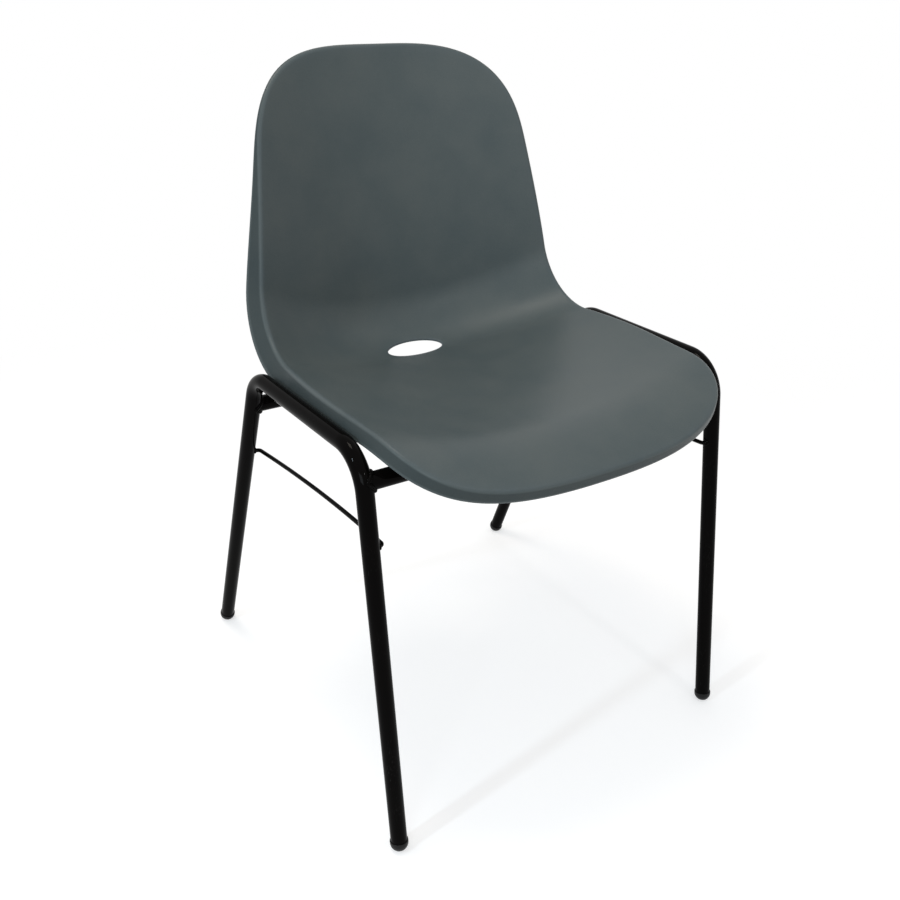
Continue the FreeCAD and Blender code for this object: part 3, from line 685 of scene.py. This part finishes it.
class ShellEdge:
    """Where the wall turns over into the rounded edge and the lip, all round the outline."""

    def __init__(self, rule, outline, inset):
        base = rule.point(inset)
        self.normal = rule.normal(inset)
        away = rule.point(outline) - base
        level = np.sum(away * self.normal, axis=1)[:, None]
        self.outward = unit(away - self.normal * level)
        self.flare = rule.lip_flare(outline[:, 1])[:, None]
        self.radius = rule.sizes.edge_radius
        self.centre = base - self.normal * self.radius
        self.whole_turn = math.pi / 2 - self.flare
        depth = rule.lip_depth(outline[:, 1])[:, None]
        self.run = (depth - self.radius * (1 - np.cos(self.whole_turn))) / np.cos(self.flare)

    def ring(self, radius, turn_share, down=0.0):
        """Points part of the way round the edge's arc, then a distance down the lip."""
        swing = self.whole_turn * turn_share
        point = (self.centre + self.outward * (radius * np.sin(swing))
                 + self.normal * (radius * np.cos(swing)))
        lip = self.outward * np.sin(self.flare) - self.normal * np.cos(self.flare)
        return point + lip * down


def shell_rings(rule):
    """The closed skin of the moulding, as rings of points that each say how worn they are; the
    rounded edge also gets a painted highlight, and the outside of the lip painted shade.

    They run from the hand hole's front over the sitter's side, round the edge, down the lip
    and up inside it, and along the back of the wall to the hole again.
    """
    sizes = rule.sizes
    wall = sizes.thickness
    radius = sizes.edge_radius
    round_end = sizes.lip_end_radius
    round_rim = sizes.hole_rim_radius
    outline = rule.outline()
    inset = moved_inwards(outline, radius)
    edge = ShellEdge(rule, outline, inset)
    centre = np.array([0, sizes.hole_above_bend])
    axes = np.array([sizes.hole_half_width, sizes.hole_half_height])
    bearing = np.arctan2(outline[:, 1] - centre[1], outline[:, 0])
    heading = np.stack([np.cos(bearing), np.sin(bearing)], axis=1)
    rim = centre + axes * heading
    away = unit(heading / axes)

    def wall_ring(offset, part, depth):
        """Part of the way from the hand hole's rim to the rounded edge, below the surface."""
        start = rim + away * offset
        places = start + (inset - start) * part
        return rule.point(places) - rule.normal(places) * depth

    def rub(part):
        """How worn the wall is, which counts only near the rounded edge and the hole."""
        near = 0.02
        return (RUBBED_NEAR_EDGE * max(0, (part - 1) / near + 1)
                + RUBBED_NEAR_HOLE * max(0, 1 - part / near))

    straight = edge.run - round_end
    parts = np.linspace(0, 1, 61)
    lip_parts = np.linspace(0, 1, 6)[1:-1]
    corner = [(math.sin(swing), 1 - math.cos(swing)) for swing in np.linspace(0, math.pi / 2, 5)]
    return (
        [(wall_ring(round_rim, part, 0), rub(part)) for part in parts]
        # The rounded edge: worn, with a painted highlight along its crease, fading into the lip's
        # painted shade.
        + [(edge.ring(radius, part),
            RUBBED_AND_HIGHLIT_EDGE * math.cos(math.pi / 2 * part) + PAINTED_SHADE_LIP * part ** 3)
           for part in np.linspace(0, 1, 9)[1:]]
        # Down the outside of the lip: painted shade.
        + [(edge.ring(radius, 1, straight * part), PAINTED_SHADE_LIP) for part in lip_parts]
        + [(edge.ring(radius - round_end * out, 1, straight + round_end * along), RUBBED_LIP_END)
           for along, out in corner]
        + [(edge.ring(radius - wall + round_end * out, 1, straight + round_end * along),
            RUBBED_LIP_END)
           for along, out in corner[::-1]]
        + [(edge.ring(radius - wall, 1, straight * part), RUBBED_LIP_INSIDE)
           for part in lip_parts[::-1]]
        + [(edge.ring(radius - wall, part), UNWORN) for part in np.linspace(1, 0, 5)[:-1]]
        + [(wall_ring(round_rim, part, wall), UNWORN) for part in parts[::-1]]
        + [(wall_ring(round_rim * (1 - along), 0, wall - round_rim * out), RUBBED_RIM_BACK)
           for along, out in corner[1:]]
        + [(wall_ring(round_rim * (1 - along), 0, round_rim * out), RUBBED_RIM_FRONT)
           for along, out in corner[:0:-1]])


def wall_height(rule, across, back):
    """The height of the middle of the wall over a place on the ground."""
    along = halved(rule.front, rule.stations[3],
                   lambda middle: rule.point(np.array([[across, middle]]))[0, 1] < back)
    place = np.array([[across, along]])
    return (rule.point(place) - rule.normal(place) * rule.sizes.thickness / 2)[0, 2]


def saddle_block(rule, frame_sizes, centre):
    """A block that reaches from the wall down astride a cross tube, with softened edges."""
    sizes = rule.sizes
    half = sizes.saddle_length / 2
    groove = frame_sizes.tube_diameter / 2 + sizes.saddle_clearance
    arch = [(groove * math.cos(swing), groove * math.sin(swing))
            for swing in np.linspace(math.pi, 0, 25)]
    lower = [(-half, 0), *arch, (half, 0)]
    work = bmesh.new()
    sections = []
    for share in np.linspace(-0.5, 0.5, 5):
        x = centre.x + share * sizes.saddle_width
        points = [(x, centre.y + y, centre.z + z) for y, z in lower]
        for y in np.linspace(half, -half, 9):
            points.append((x, centre.y + y, wall_height(rule, x, centre.y + y)))
        sections.append([work.verts.new(point) for point in points])
    for here, there in zip(sections, sections[1:]):
        for number in range(len(here)):
            after = (number + 1) % len(here)
            work.faces.new((here[number], here[after], there[after], there[number]))
    work.faces.new(sections[0])
    work.faces.new(sections[-1])
    turn_outwards(work)
    sharp = [edge for edge in work.edges if edge.calc_face_angle(0) > SHARP_ANGLE]
    bmesh.ops.bevel(work, geom=sharp, offset=sizes.saddle_rounding, segments=2, profile=0.5,
                    affect="EDGES", clamp_overlap=True)
    mesh = bpy.data.meshes.new("saddle_block")
    work.to_mesh(mesh)
    work.free()
    return mesh


# The frame's rule, in the plane of a side frame: X outboard, Y to the rear.

def side_matrix(sizes, side):
    sign = SIDES[side]
    return (Matrix.Translation((sign * sizes.half_width, sizes.feet_middle_back, 0))
            @ Matrix.Rotation(-sign * sizes.toe_in, 4, "Z")
            @ Matrix.Rotation(-sign * sizes.lean, 4, "Y"))


def leg_ends(sizes, end):
    """The bend corner and the ground point of a leg's axis."""
    sign = -1 if end == "front" else 1
    top = Vector((0, sign * getattr(sizes, f"{end}_bend_reach"),
                  getattr(sizes, f"{end}_bend_height")))
    return top, Vector((0, sign * getattr(sizes, f"{end}_foot_reach"), 0))


def leg_direction(sizes, end):
    top, ground = leg_ends(sizes, end)
    return (top - ground).normalized()


def leg_point(sizes, end, height):
    top, ground = leg_ends(sizes, end)
    return ground.lerp(top, height / top.z)


def cap_centre(sizes, end):
    return leg_point(sizes, end, sizes.cap_diameter / 2 - sizes.cap_flat_depth)


def tube_end(sizes, end):
    return cap_centre(sizes, end) + leg_direction(sizes, end) * sizes.cap_collar


def side_corners(sizes):
    """The corners of a side frame's centreline, from the front foot to the rear one."""
    return [tube_end(sizes, "front"), leg_ends(sizes, "front")[0],
            leg_ends(sizes, "rear")[0], tube_end(sizes, "rear")]


def rounded(corners, radius, steps=48):
    """Closely spaced points along straight runs joined by arcs."""
    points = [corners[0]]
    for before, corner, after in zip(corners, corners[1:], corners[2:]):
        back = (before - corner).normalized()
        onward = (after - corner).normalized()
        half = back.angle(onward) / 2
        centre = corner + (back + onward).normalized() * (radius / math.sin(half))
        first = corner + back * (radius / math.tan(half)) - centre
        last = corner + onward * (radius / math.tan(half)) - centre
        whole = first.angle(last)
        for number in range(steps + 1):
            part = number / steps
            spoke = (first * math.sin((1 - part) * whole)
                     + last * math.sin(part * whole)) / math.sin(whole)
            points.append(centre + spoke)
    return points + [corners[-1]]


def centreline(sizes, side):
    """A side frame's centreline as an array of points."""
    matrix = side_matrix(sizes, side)
    return np.array([matrix @ point for point in rounded(side_corners(sizes),
                                                         sizes.bend_radius)])


def cross_point(sizes, end, side):
    """Where a cross tube's axis meets a side frame's centreline."""
    path = rounded(side_corners(sizes), sizes.bend_radius)
    height = getattr(sizes, f"{end}_cross_height")
    pairs = list(zip(path, path[1:]))
    if end == "rear":
        pairs.reverse()
    for first, second in pairs:
        low, high = sorted((first, second), key=lambda point: point.z)
        if low.z <= height <= high.z:
            meeting = low.lerp(high, (height - low.z) / (high.z - low.z))
            return side_matrix(sizes, side) @ meeting
    raise ValueError(f"the {end} cross tube lies above the side frames")


def distance_to_line(point, line):
    """The least distance from a point to a line of points."""
    start, run = line[:-1], np.diff(line, axis=0)
    part = np.clip(np.sum((point - start) * run, axis=1) / np.sum(run * run, axis=1), 0, 1)
    return lengths(point - start - run * part[:, None]).min()


def cross_weld_path(sizes, end, side):
    """The closed line where a cross tube's surface meets a side frame's."""
    line = centreline(sizes, side)
    middle = np.array(cross_point(sizes, end, side))
    radius = sizes.tube_diameter / 2
    inboard = np.array([-SIDES[side], 0, 0])
    path = []
    for swing in around(CROSS_WELD_POINTS):
        spoke = middle + np.array([0, math.cos(swing), math.sin(swing)]) * radius
        reach = halved(0.0, 2 * radius, lambda reach:
                       distance_to_line(spoke + inboard * reach, line) < radius)
        path.append(Vector(spoke + inboard * reach))
    return path


def wire_matrix(sizes, side):
    """The wire's plane: its own Y runs along the straight line between its two ends."""
    front = leg_point(sizes, "front", sizes.wire_front_height)
    rear = leg_point(sizes, "rear", sizes.wire_rear_height)
    run = rear - front
    tilt = Vector((0, 1, 0)).rotation_difference(run).to_matrix().to_4x4()
    return side_matrix(sizes, side) @ Matrix.Translation(front) @ tilt, run.length


def wire_corners(sizes, side):
    """Front leg, front bend, crown of the bow, rear bend and rear leg, and their radii."""
    matrix, run = wire_matrix(sizes, side)
    inboard = sizes.wire_standoff
    front_bend = -sizes.wire_past_front_leg
    rear_bend = run - sizes.wire_before_rear_leg
    crown = inboard + 2 * sizes.wire_bow
    flat = [(0, 0), (inboard, front_bend), (crown, (front_bend + rear_bend) / 2),
            (inboard, rear_bend), (0, run)]
    corners = [Vector((-SIDES[side] * across, along, 0)) for across, along in flat]
    rise = corners[2] - corners[1]
    swing = rise.angle(corners[3] - corners[2])
    bow = sizes.wire_bow_share * rise.length / math.tan(swing / 2)
    bend = sizes.wire_bend_radius
    return [matrix @ corner for corner in corners], [0, bend, bow, bend, 0]


def wire_weld_path(sizes, end, side):
    """A small ring round a wire, where it butts against a leg."""
    corners, _ = wire_corners(sizes, side)
    tip, bend = (corners[0], corners[1]) if end == "front" else (corners[-1], corners[-2])
    towards = (bend - tip).normalized()
    seat = tip + towards * (sizes.tube_diameter / 2)
    across = towards.orthogonal().normalized()
    up = towards.cross(across)
    stand_off = 0.1 * sizes.wire_weld_radius
    ring = sizes.wire_diameter / 2 + stand_off
    return [seat + (across * math.cos(swing) + up * math.sin(swing)) * ring
            for swing in around(WIRE_WELD_POINTS)]


# Geometry node trees for what follows a path.

def bar_tree():
    """A round bar along corners that are joined by arcs of each corner's own radius."""
    tree, given, result = new_group(
        "bent_bar", "GeometryNodeTree",
        [("Path", "Geometry"), ("Bar Radius", "Float", 0.01), ("Arc Steps", "Int", 32),
         ("Sides", "Int", 48), ("Finish", "Material")],
        [("Bar", "Geometry")])
    line = add(tree, "GeometryNodeMeshToCurve", {"Mesh": given["Path"]})
    radius = add(tree, "GeometryNodeInputNamedAttribute", {"Name": "corner_radius"},
                 data_type="FLOAT")
    fillet = add(tree, "GeometryNodeFilletCurve",
                 {"Curve": line, "Radius": radius, "Count": given["Arc Steps"]}, mode="POLY")
    ring = add(tree, "GeometryNodeCurvePrimitiveCircle",
               {"Resolution": given["Sides"], "Radius": given["Bar Radius"]})
    skin = add(tree, "GeometryNodeCurveToMesh",
               {"Curve": fillet, "Profile Curve": ring, "Fill Caps": True})
    end_tree(tree, skin, given, result)
    return tree


def weld_tree():
    """A bead along a closed path: a plain core, and the ripples that a welder leaves."""
    core_share = 0.86
    drop_thickness = 0.62
    tree, given, result = new_group(
        "weld_bead", "GeometryNodeTree",
        [("Path", "Geometry"), ("Bead Radius", "Float", 0.002),
         ("Ripple Spacing", "Float", 0.002), ("Unevenness", "Float", 0.08),
         ("Seed", "Int", 7), ("Finish", "Material")],
        [("Bead", "Geometry")])
    line = add(tree, "GeometryNodeMeshToCurve", {"Mesh": given["Path"]})
    ring = add(tree, "GeometryNodeCurvePrimitiveCircle",
               {"Resolution": 12,
                "Radius": maths(tree, "MULTIPLY", given["Bead Radius"], core_share)})
    core = add(tree, "GeometryNodeCurveToMesh", {"Curve": line, "Profile Curve": ring})
    stations = add(tree, "GeometryNodeResampleCurve",
                   {"Curve": line, "Length": given["Ripple Spacing"]}, mode="LENGTH")
    drop = add(tree, "GeometryNodeMeshUVSphere",
               {"Segments": 12, "Rings": 8, "Radius": given["Bead Radius"]})
    aim = add(tree, "FunctionNodeAlignRotationToVector",
              {"Vector": add(tree, "GeometryNodeInputTangent")}, axis="Z")
    uneven = add(tree, "FunctionNodeRandomValue",
                 {2: maths(tree, "SUBTRACT", 1.0, given["Unevenness"]),
                  3: maths(tree, "ADD", 1.0, given["Unevenness"]), "Seed": given["Seed"]},
                 data_type="FLOAT").outputs[1]
    flat = add(tree, "ShaderNodeCombineXYZ", {"X": uneven, "Y": uneven, "Z": drop_thickness})
    drops = add(tree, "GeometryNodeInstanceOnPoints",
                {"Points": stations, "Instance": drop, "Rotation": aim, "Scale": flat})
    both = add(tree, "GeometryNodeJoinGeometry", {"Geometry": drops})
    tree.links.new(core.outputs["Mesh"], both.inputs["Geometry"])
    end_tree(tree, both, given, result)
    return tree


def end_tree(tree, geometry, given, result):
    """Smooth shading, real geometry and the finish, then out."""
    smooth = add(tree, "GeometryNodeSetShadeSmooth", {"Geometry": geometry})
    real = add(tree, "GeometryNodeRealizeInstances", {"Geometry": smooth})
    dressed = add(tree, "GeometryNodeSetMaterial",
                  {"Geometry": real, "Material": given["Finish"]})
    tree.links.new(dressed.outputs["Geometry"], result[0])


def grown(name, points, tree_name, make_tree, inputs, radii=None, closed=False):
    """A plain mesh that a node tree grows along a path of points."""
    count = len(points)
    edges = [(number, (number + 1) % count) for number in range(count if closed else count - 1)]
    piece = new_piece(name, points, (), edges=edges)
    if radii:
        attribute = piece.data.attributes.new("corner_radius", "FLOAT", "POINT")
        attribute.data.foreach_set("value", radii)
    tree = bpy.data.node_groups.get(tree_name) or make_tree()
    modifier = piece.modifiers.new(tree_name, "NODES")
    modifier.node_group = tree
    for item in tree.interface.items_tree:
        if item.in_out == "INPUT" and item.name in inputs:
            modifier[item.identifier] = inputs[item.name]
    graph = bpy.context.evaluated_depsgraph_get()
    mesh = bpy.data.meshes.new_from_object(piece.evaluated_get(graph), depsgraph=graph)
    path_mesh = piece.data
    piece.modifiers.clear()
    piece.data = mesh
    mesh.name = name
    bpy.data.meshes.remove(path_mesh)
    left_over = mesh.attributes.get("corner_radius")
    if left_over:
        mesh.attributes.remove(left_over)
    outward(mesh)
    return piece


def bent_bar(context, name, corners, radii, diameter, sides=48):
    return grown(name, corners, "bent_bar", bar_tree,
                 {"Bar Radius": diameter / 2, "Sides": sides,
                  "Finish": finish_for(context, "frame")}, radii)


def weld_bead(context, name, path, radius, seed):
    sizes = context.scene.chair_frame
    return grown(name, path, "weld_bead", weld_tree,
                 {"Bead Radius": radius, "Ripple Spacing": sizes.weld_ripple * radius
                  / sizes.weld_radius, "Seed": seed, "Finish": finish_for(context, "frame")},
                 closed=True)


# Operators: one for each piece or group of like pieces, and one for the stage.

class CHAIR_OT_shell(bpy.types.Operator):
    """Build the moulded seat and back with its saddle blocks"""
    bl_idname = "chair.shell"
    bl_label = "Shell"

    def execute(self, context):
        sizes = context.scene.chair_shell
        frame_sizes = context.scene.chair_frame
        rule = ShellRule(sizes)
        # Each ring's level: wear, a painted highlight on the rounded edge, and painted shade
        # (negative) on the outside of the lip.
        rings, worn = zip(*shell_rings(rule))
        count = len(rings[0])
        points = np.concatenate(rings)
        shell = new_piece("moulded_shell", points, ring_faces(len(rings), count, True),
                          finish_for(context, "shell"))
        edge = shell.data.attributes.new("edge", "FLOAT", "POINT")
        edge.data.foreach_set("value", np.repeat(worn, count).astype(np.float32))
        work = bmesh.new()
        work.from_mesh(shell.data)
        turn_outwards(work)
        for end in ENDS:
            meeting = cross_point(frame_sizes, end, "left")
            for sign in SIDES.values():
                centre = Vector((sign * sizes.mount_half_spacing, meeting.y, meeting.z))
                block = saddle_block(rule, frame_sizes, centre)
                work.from_mesh(block)
                bpy.data.meshes.remove(block)
        work.to_mesh(shell.data)
        work.free()
        shell.data.shade_smooth()
        finished(shell, "seat_shell")
        return {"FINISHED"}


class CHAIR_OT_side_frames(bpy.types.Operator):
    """Build the two bent side frames"""
    bl_idname = "chair.side_frames"
    bl_label = "Side frames"

    def execute(self, context):
        sizes = context.scene.chair_frame
        for side in SIDES:
            matrix = side_matrix(sizes, side)
            corners = [matrix @ corner for corner in side_corners(sizes)]
            bend = sizes.bend_radius
            bar = bent_bar(context, f"bent_frame_{side}", corners, [0, bend, bend, 0],
                           sizes.tube_diameter)
            finished(bar, f"side_frame_{side}")
        return {"FINISHED"}


class CHAIR_OT_cross_tubes(bpy.types.Operator):
    """Build the two cross tubes that carry the shell"""
    bl_idname = "chair.cross_tubes"
    bl_label = "Cross tubes"

    def execute(self, context):
        sizes = context.scene.chair_frame
        for end in ENDS:
            ends = [cross_point(sizes, end, side) for side in SIDES]
            bar = bent_bar(context, f"cross_bar_{end}", ends, [0, 0], sizes.tube_diameter)
            finished(bar, f"cross_tube_{end}")
        return {"FINISHED"}


class CHAIR_OT_side_wires(bpy.types.Operator):
    """Build the two bowed side wires"""
    bl_idname = "chair.side_wires"
    bl_label = "Side wires"

    # How far a wire's end reaches into a leg, as a share of the leg's radius.
    REACH = 0.8

    def execute(self, context):
        sizes = context.scene.chair_frame
        for side in SIDES:
            corners, radii = wire_corners(sizes, side)
            into_leg = self.REACH * sizes.tube_diameter / 2
            corners[0] += (corners[1] - corners[0]).normalized() * into_leg
            corners[-1] += (corners[-2] - corners[-1]).normalized() * into_leg
            bar = bent_bar(context, f"bowed_wire_{side}", corners, radii,
                           sizes.wire_diameter, sides=WIRE_SIDES)
            finished(bar, f"side_wire_{side}")
        return {"FINISHED"}


class CHAIR_OT_welds(bpy.types.Operator):
    """Build the weld beads of the cross tubes and the wires"""
    bl_idname = "chair.welds"
    bl_label = "Welds"

    def execute(self, context):
        sizes = context.scene.chair_frame
        seed = 1
        for end, side in LEGS:
            for kind, path, radius in (("cross", cross_weld_path, sizes.weld_radius),
                                       ("wire", wire_weld_path, sizes.wire_weld_radius)):
                bead = weld_bead(context, f"{kind}_bead_{end}_{side}",
                                 path(sizes, end, side), radius, seed)
                finished(bead, f"{kind}_weld_{end}_{side}")
                seed += 1
        return {"FINISHED"}


def cap_outline(sizes):
    """Radius and height of a foot cap's outline, from its lowest point to its plug's top."""
    outer = sizes.cap_diameter / 2
    plug = sizes.tube_diameter / 2 - sizes.tube_wall - sizes.cap_plug_clearance
    collar = sizes.cap_collar
    soft = sizes.cap_rounding
    top = collar + sizes.cap_plug_length
    outline = [(outer * math.sin(swing), -outer * math.cos(swing))
               for swing in np.linspace(0, math.pi / 2, 20)]
    outline += [(outer - soft * (1 - math.cos(swing)), collar - soft + soft * math.sin(swing))
                for swing in np.linspace(0, math.pi / 2, 5)]
    outline += [(plug, collar), (plug, top - 2 * soft), (plug - soft, top - soft / 2),
                (plug - 2 * soft, top), (0, top)]
    return outline


class CHAIR_OT_foot_caps(bpy.types.Operator):
    """Build the four foot caps"""
    bl_idname = "chair.foot_caps"
    bl_label = "Foot caps"

    def execute(self, context):
        sizes = context.scene.chair_frame
        outline = cap_outline(sizes)
        shape = [Vector((radius * math.cos(swing), radius * math.sin(swing), height))
                 for radius, height in outline for swing in around(CAP_SIDES)]
        faces = ring_faces(len(outline), CAP_SIDES, False)
        for end, side in LEGS:
            upright = Vector((0, 0, 1)).rotation_difference(leg_direction(sizes, end))
            matrix = (side_matrix(sizes, side) @ Matrix.Translation(cap_centre(sizes, end))
                      @ upright.to_matrix().to_4x4())
            cap = new_piece(f"end_cap_{end}_{side}", [matrix @ point for point in shape], faces,
                            finish_for(context, "foot_cap"))
            outward(cap.data)
            self.cut_at_ground(cap.data)
            finished(cap, f"foot_cap_{end}_{side}")
        return {"FINISHED"}

    def cut_at_ground(self, mesh):
        """The flat that a cap stands on."""
        work = bmesh.new()
        work.from_mesh(mesh)
        everything = list(work.verts) + list(work.edges) + list(work.faces)
        cut = bmesh.ops.bisect_plane(work, geom=everything, plane_co=(0, 0, 0),
                                     plane_no=(0, 0, -1), clear_outer=True)
        rim = [item for item in cut["geom_cut"] if isinstance(item, bmesh.types.BMEdge)]
        flat = bmesh.ops.contextual_create(work, geom=rim)["faces"]
        turn_outwards(work)
        for face in flat:
            face.smooth = False
        work.to_mesh(mesh)
        work.free()


class CHAIR_OT_fasteners(bpy.types.Operator):
    """Finish the shell's screws and saddle washers, whose shapes come from the frame"""
    bl_idname = "chair.fasteners"
    bl_label = "Fasteners"

    def execute(self, context):
        for end, side in LEGS:
            for node, slot in (("shell_screw", "screw"), ("saddle_washer", "washer")):
                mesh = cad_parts[f"{node}_{end}_{side}"].data
                mesh.materials.clear()
                mesh.materials.append(finish_for(context, slot))
        return {"FINISHED"}


def area_light(name, power, place, aim, size, tint):
    light = bpy.data.lights.new(name, "AREA")
    light.shape = "RECTANGLE"
    light.size, light.size_y = size
    light.energy = power
    light.color = tint
    lamp = bpy.data.objects.new(name, light)
    lamp.location = place
    lamp.rotation_euler = (Vector(aim) - Vector(place)).to_track_quat("-Z", "Y").to_euler()
    bpy.context.collection.objects.link(lamp)


def background_rays(tree):
    """1 for rays that look at the background or mirror it, 0 for rays that light things."""
    path = add(tree, "ShaderNodeLightPath")
    seen = maths(tree, "MAXIMUM", path.outputs["Is Camera Ray"], path.outputs["Is Glossy Ray"])
    return maths(tree, "MAXIMUM", seen, path.outputs["Is Transmission Ray"])


def floor_finish(colours):
    """Pale floor that keeps shadows near the chair and turns white further out.

    It doesn't hide the chair from below.
    """
    shadows_to, white_from, lift_level = 0.3, 1.6, 0.48
    finish = Finish("studio_floor", {"Roughness": 0.7})
    tree = finish.tree
    plain_floor = finish.shader.outputs[0]
    tone = noise(tree, finish.place, scale=3.0, detail=3.0)
    finish.feed("Base Color", mix_colour(tree, tone, colours.floor, shaded(colours.floor, 0.985)))
    distance = add(tree, "ShaderNodeVectorMath", {0: finish.place}, operation="LENGTH")
    far = map_range(tree, distance.outputs["Value"], shadows_to, white_from)
    glow, lift = (add(tree, "ShaderNodeEmission", {"Color": (1, 1, 1, 1), "Strength": strength})
                  for strength in (1.0, lift_level))
    lifted = add(tree, "ShaderNodeAddShader", {0: plain_floor, 1: lift})
    blend = add(tree, "ShaderNodeMixShader", {0: far, 1: lifted, 2: glow})
    seen = add(tree, "ShaderNodeMixShader", {0: background_rays(tree), 1: plain_floor, 2: blend})
    below = add(tree, "ShaderNodeNewGeometry").outputs["Backfacing"]
    clear = add(tree, "ShaderNodeBsdfTransparent")
    one_sided = add(tree, "ShaderNodeMixShader", {0: below, 1: seen, 2: clear})
    tree.links.new(one_sided.outputs[0], tree.nodes["Material Output"].inputs["Surface"])
    return finish.material


def studio_world(settings):
    world = bpy.data.worlds.new("studio")
    world.use_nodes = True
    tree = world.node_tree
    back = tree.nodes["Background"]
    back.inputs["Color"].default_value = (1, 1, 1, 1)
    level = map_range(tree, background_rays(tree), 0.0, 1.0, settings.room_strength, 1.0)
    tree.links.new(level, back.inputs["Strength"])
    bpy.context.scene.world = world


class CHAIR_OT_stage(bpy.types.Operator):
    """Set the camera, the floor and the soft studio light"""
    bl_idname = "chair.stage"
    bl_label = "Stage"

    FLOOR_RADIUS = 40.0
    SEAT = (0, 0, 0.45)
    BACK = (0, 0.1, 0.6)
    # Each lamp's name, place, aim, size and tint.
    LAMPS = (("top", (-0.36, 0.26, 2.6), SEAT, (0.6, 0.6), (1.0, 0.92, 0.82)),
             ("window", (-1.9, -0.3, 1.65), SEAT, (0.1, 0.3), (0.74, 0.88, 1.0)),
             ("front", (0.3, -1.8, 1.55), SEAT, (0.12, 0.12), (1, 1, 1)),
             ("low", (-1.7, -2.0, 1.3), BACK, (1.2, 0.8), (0.86, 0.94, 1.0)))

    def execute(self, context):
        settings = context.scene.chair_stage
        self.camera(context, settings)
        rim = [(self.FLOOR_RADIUS * math.cos(swing), self.FLOOR_RADIUS * math.sin(swing), 0)
               for swing in around(FLOOR_SIDES)]
        floor = new_piece("studio_floor", rim, [range(len(rim))],
                          floor_finish(context.scene.chair_colours))
        studio_world(settings)
        for name, *arrangement in self.LAMPS:
            area_light(f"{name}_light", getattr(settings, f"{name}_power"), *arrangement)
        context.scene.view_settings.view_transform = "Standard"
        return {"FINISHED"}

    def camera(self, context, settings):
        azimuth, elevation = settings.camera_azimuth, settings.camera_elevation
        back = Vector((math.sin(azimuth) * math.cos(elevation),
                       -math.cos(azimuth) * math.cos(elevation), math.sin(elevation)))
        right = (-back).cross(Vector((0, 0, 1))).normalized()
        up = right.cross(-back)
        tilt = settings.camera_roll
        axes = (right * math.cos(tilt) + up * math.sin(tilt),
                up * math.cos(tilt) - right * math.sin(tilt), back)
        lens = bpy.data.cameras.new("camera")
        lens.sensor_fit = "HORIZONTAL"
        lens.sensor_width = 36
        lens.lens = settings.lens
        camera = bpy.data.objects.new("camera", lens)
        camera.matrix_world = (Matrix.Translation(settings.camera_place)
                               @ Matrix(axes).transposed().to_4x4())
        context.collection.objects.link(camera)
        context.scene.camera = camera


OPERATORS = (CHAIR_OT_shell, CHAIR_OT_side_frames, CHAIR_OT_cross_tubes, CHAIR_OT_side_wires,
             CHAIR_OT_welds, CHAIR_OT_foot_caps, CHAIR_OT_fasteners, CHAIR_OT_stage)
GROUPS = {"chair_shell": ShellSizes, "chair_frame": FrameSizes,
          "chair_colours": FinishColours, "chair_stage": StageSettings}


class CHAIR_PT_panel(bpy.types.Panel):
    """Steps that build the chair"""
    bl_idname = "CHAIR_PT_panel"
    bl_label = "Shell chair"
    bl_space_type = "VIEW_3D"
    bl_region_type = "UI"
    bl_category = "Chair"

    def draw(self, context):
        for operator in OPERATORS:
            self.layout.operator(operator.bl_idname)
        for name in GROUPS:
            settings = getattr(context.scene, name)
            box = self.layout.box()
            for key in settings.__annotations__:
                box.prop(settings, key)


def register():
    for kind in (*GROUPS.values(), *OPERATORS, CHAIR_PT_panel):
        bpy.utils.register_class(kind)
    for name, kind in GROUPS.items():
        setattr(bpy.types.Scene, name, bpy.props.PointerProperty(type=kind))


def unregister():
    for name in GROUPS:
        delattr(bpy.types.Scene, name)
    for kind in (CHAIR_PT_panel, *reversed(OPERATORS), *GROUPS.values()):
        bpy.utils.unregister_class(kind)


def main():
    register()
    bpy.ops.chair.shell()
    bpy.ops.chair.side_frames()
    bpy.ops.chair.cross_tubes()
    bpy.ops.chair.side_wires()
    bpy.ops.chair.welds()
    bpy.ops.chair.foot_caps()
    bpy.ops.chair.fasteners()
    bpy.ops.chair.stage()


if __name__ == "__main__":
    main()
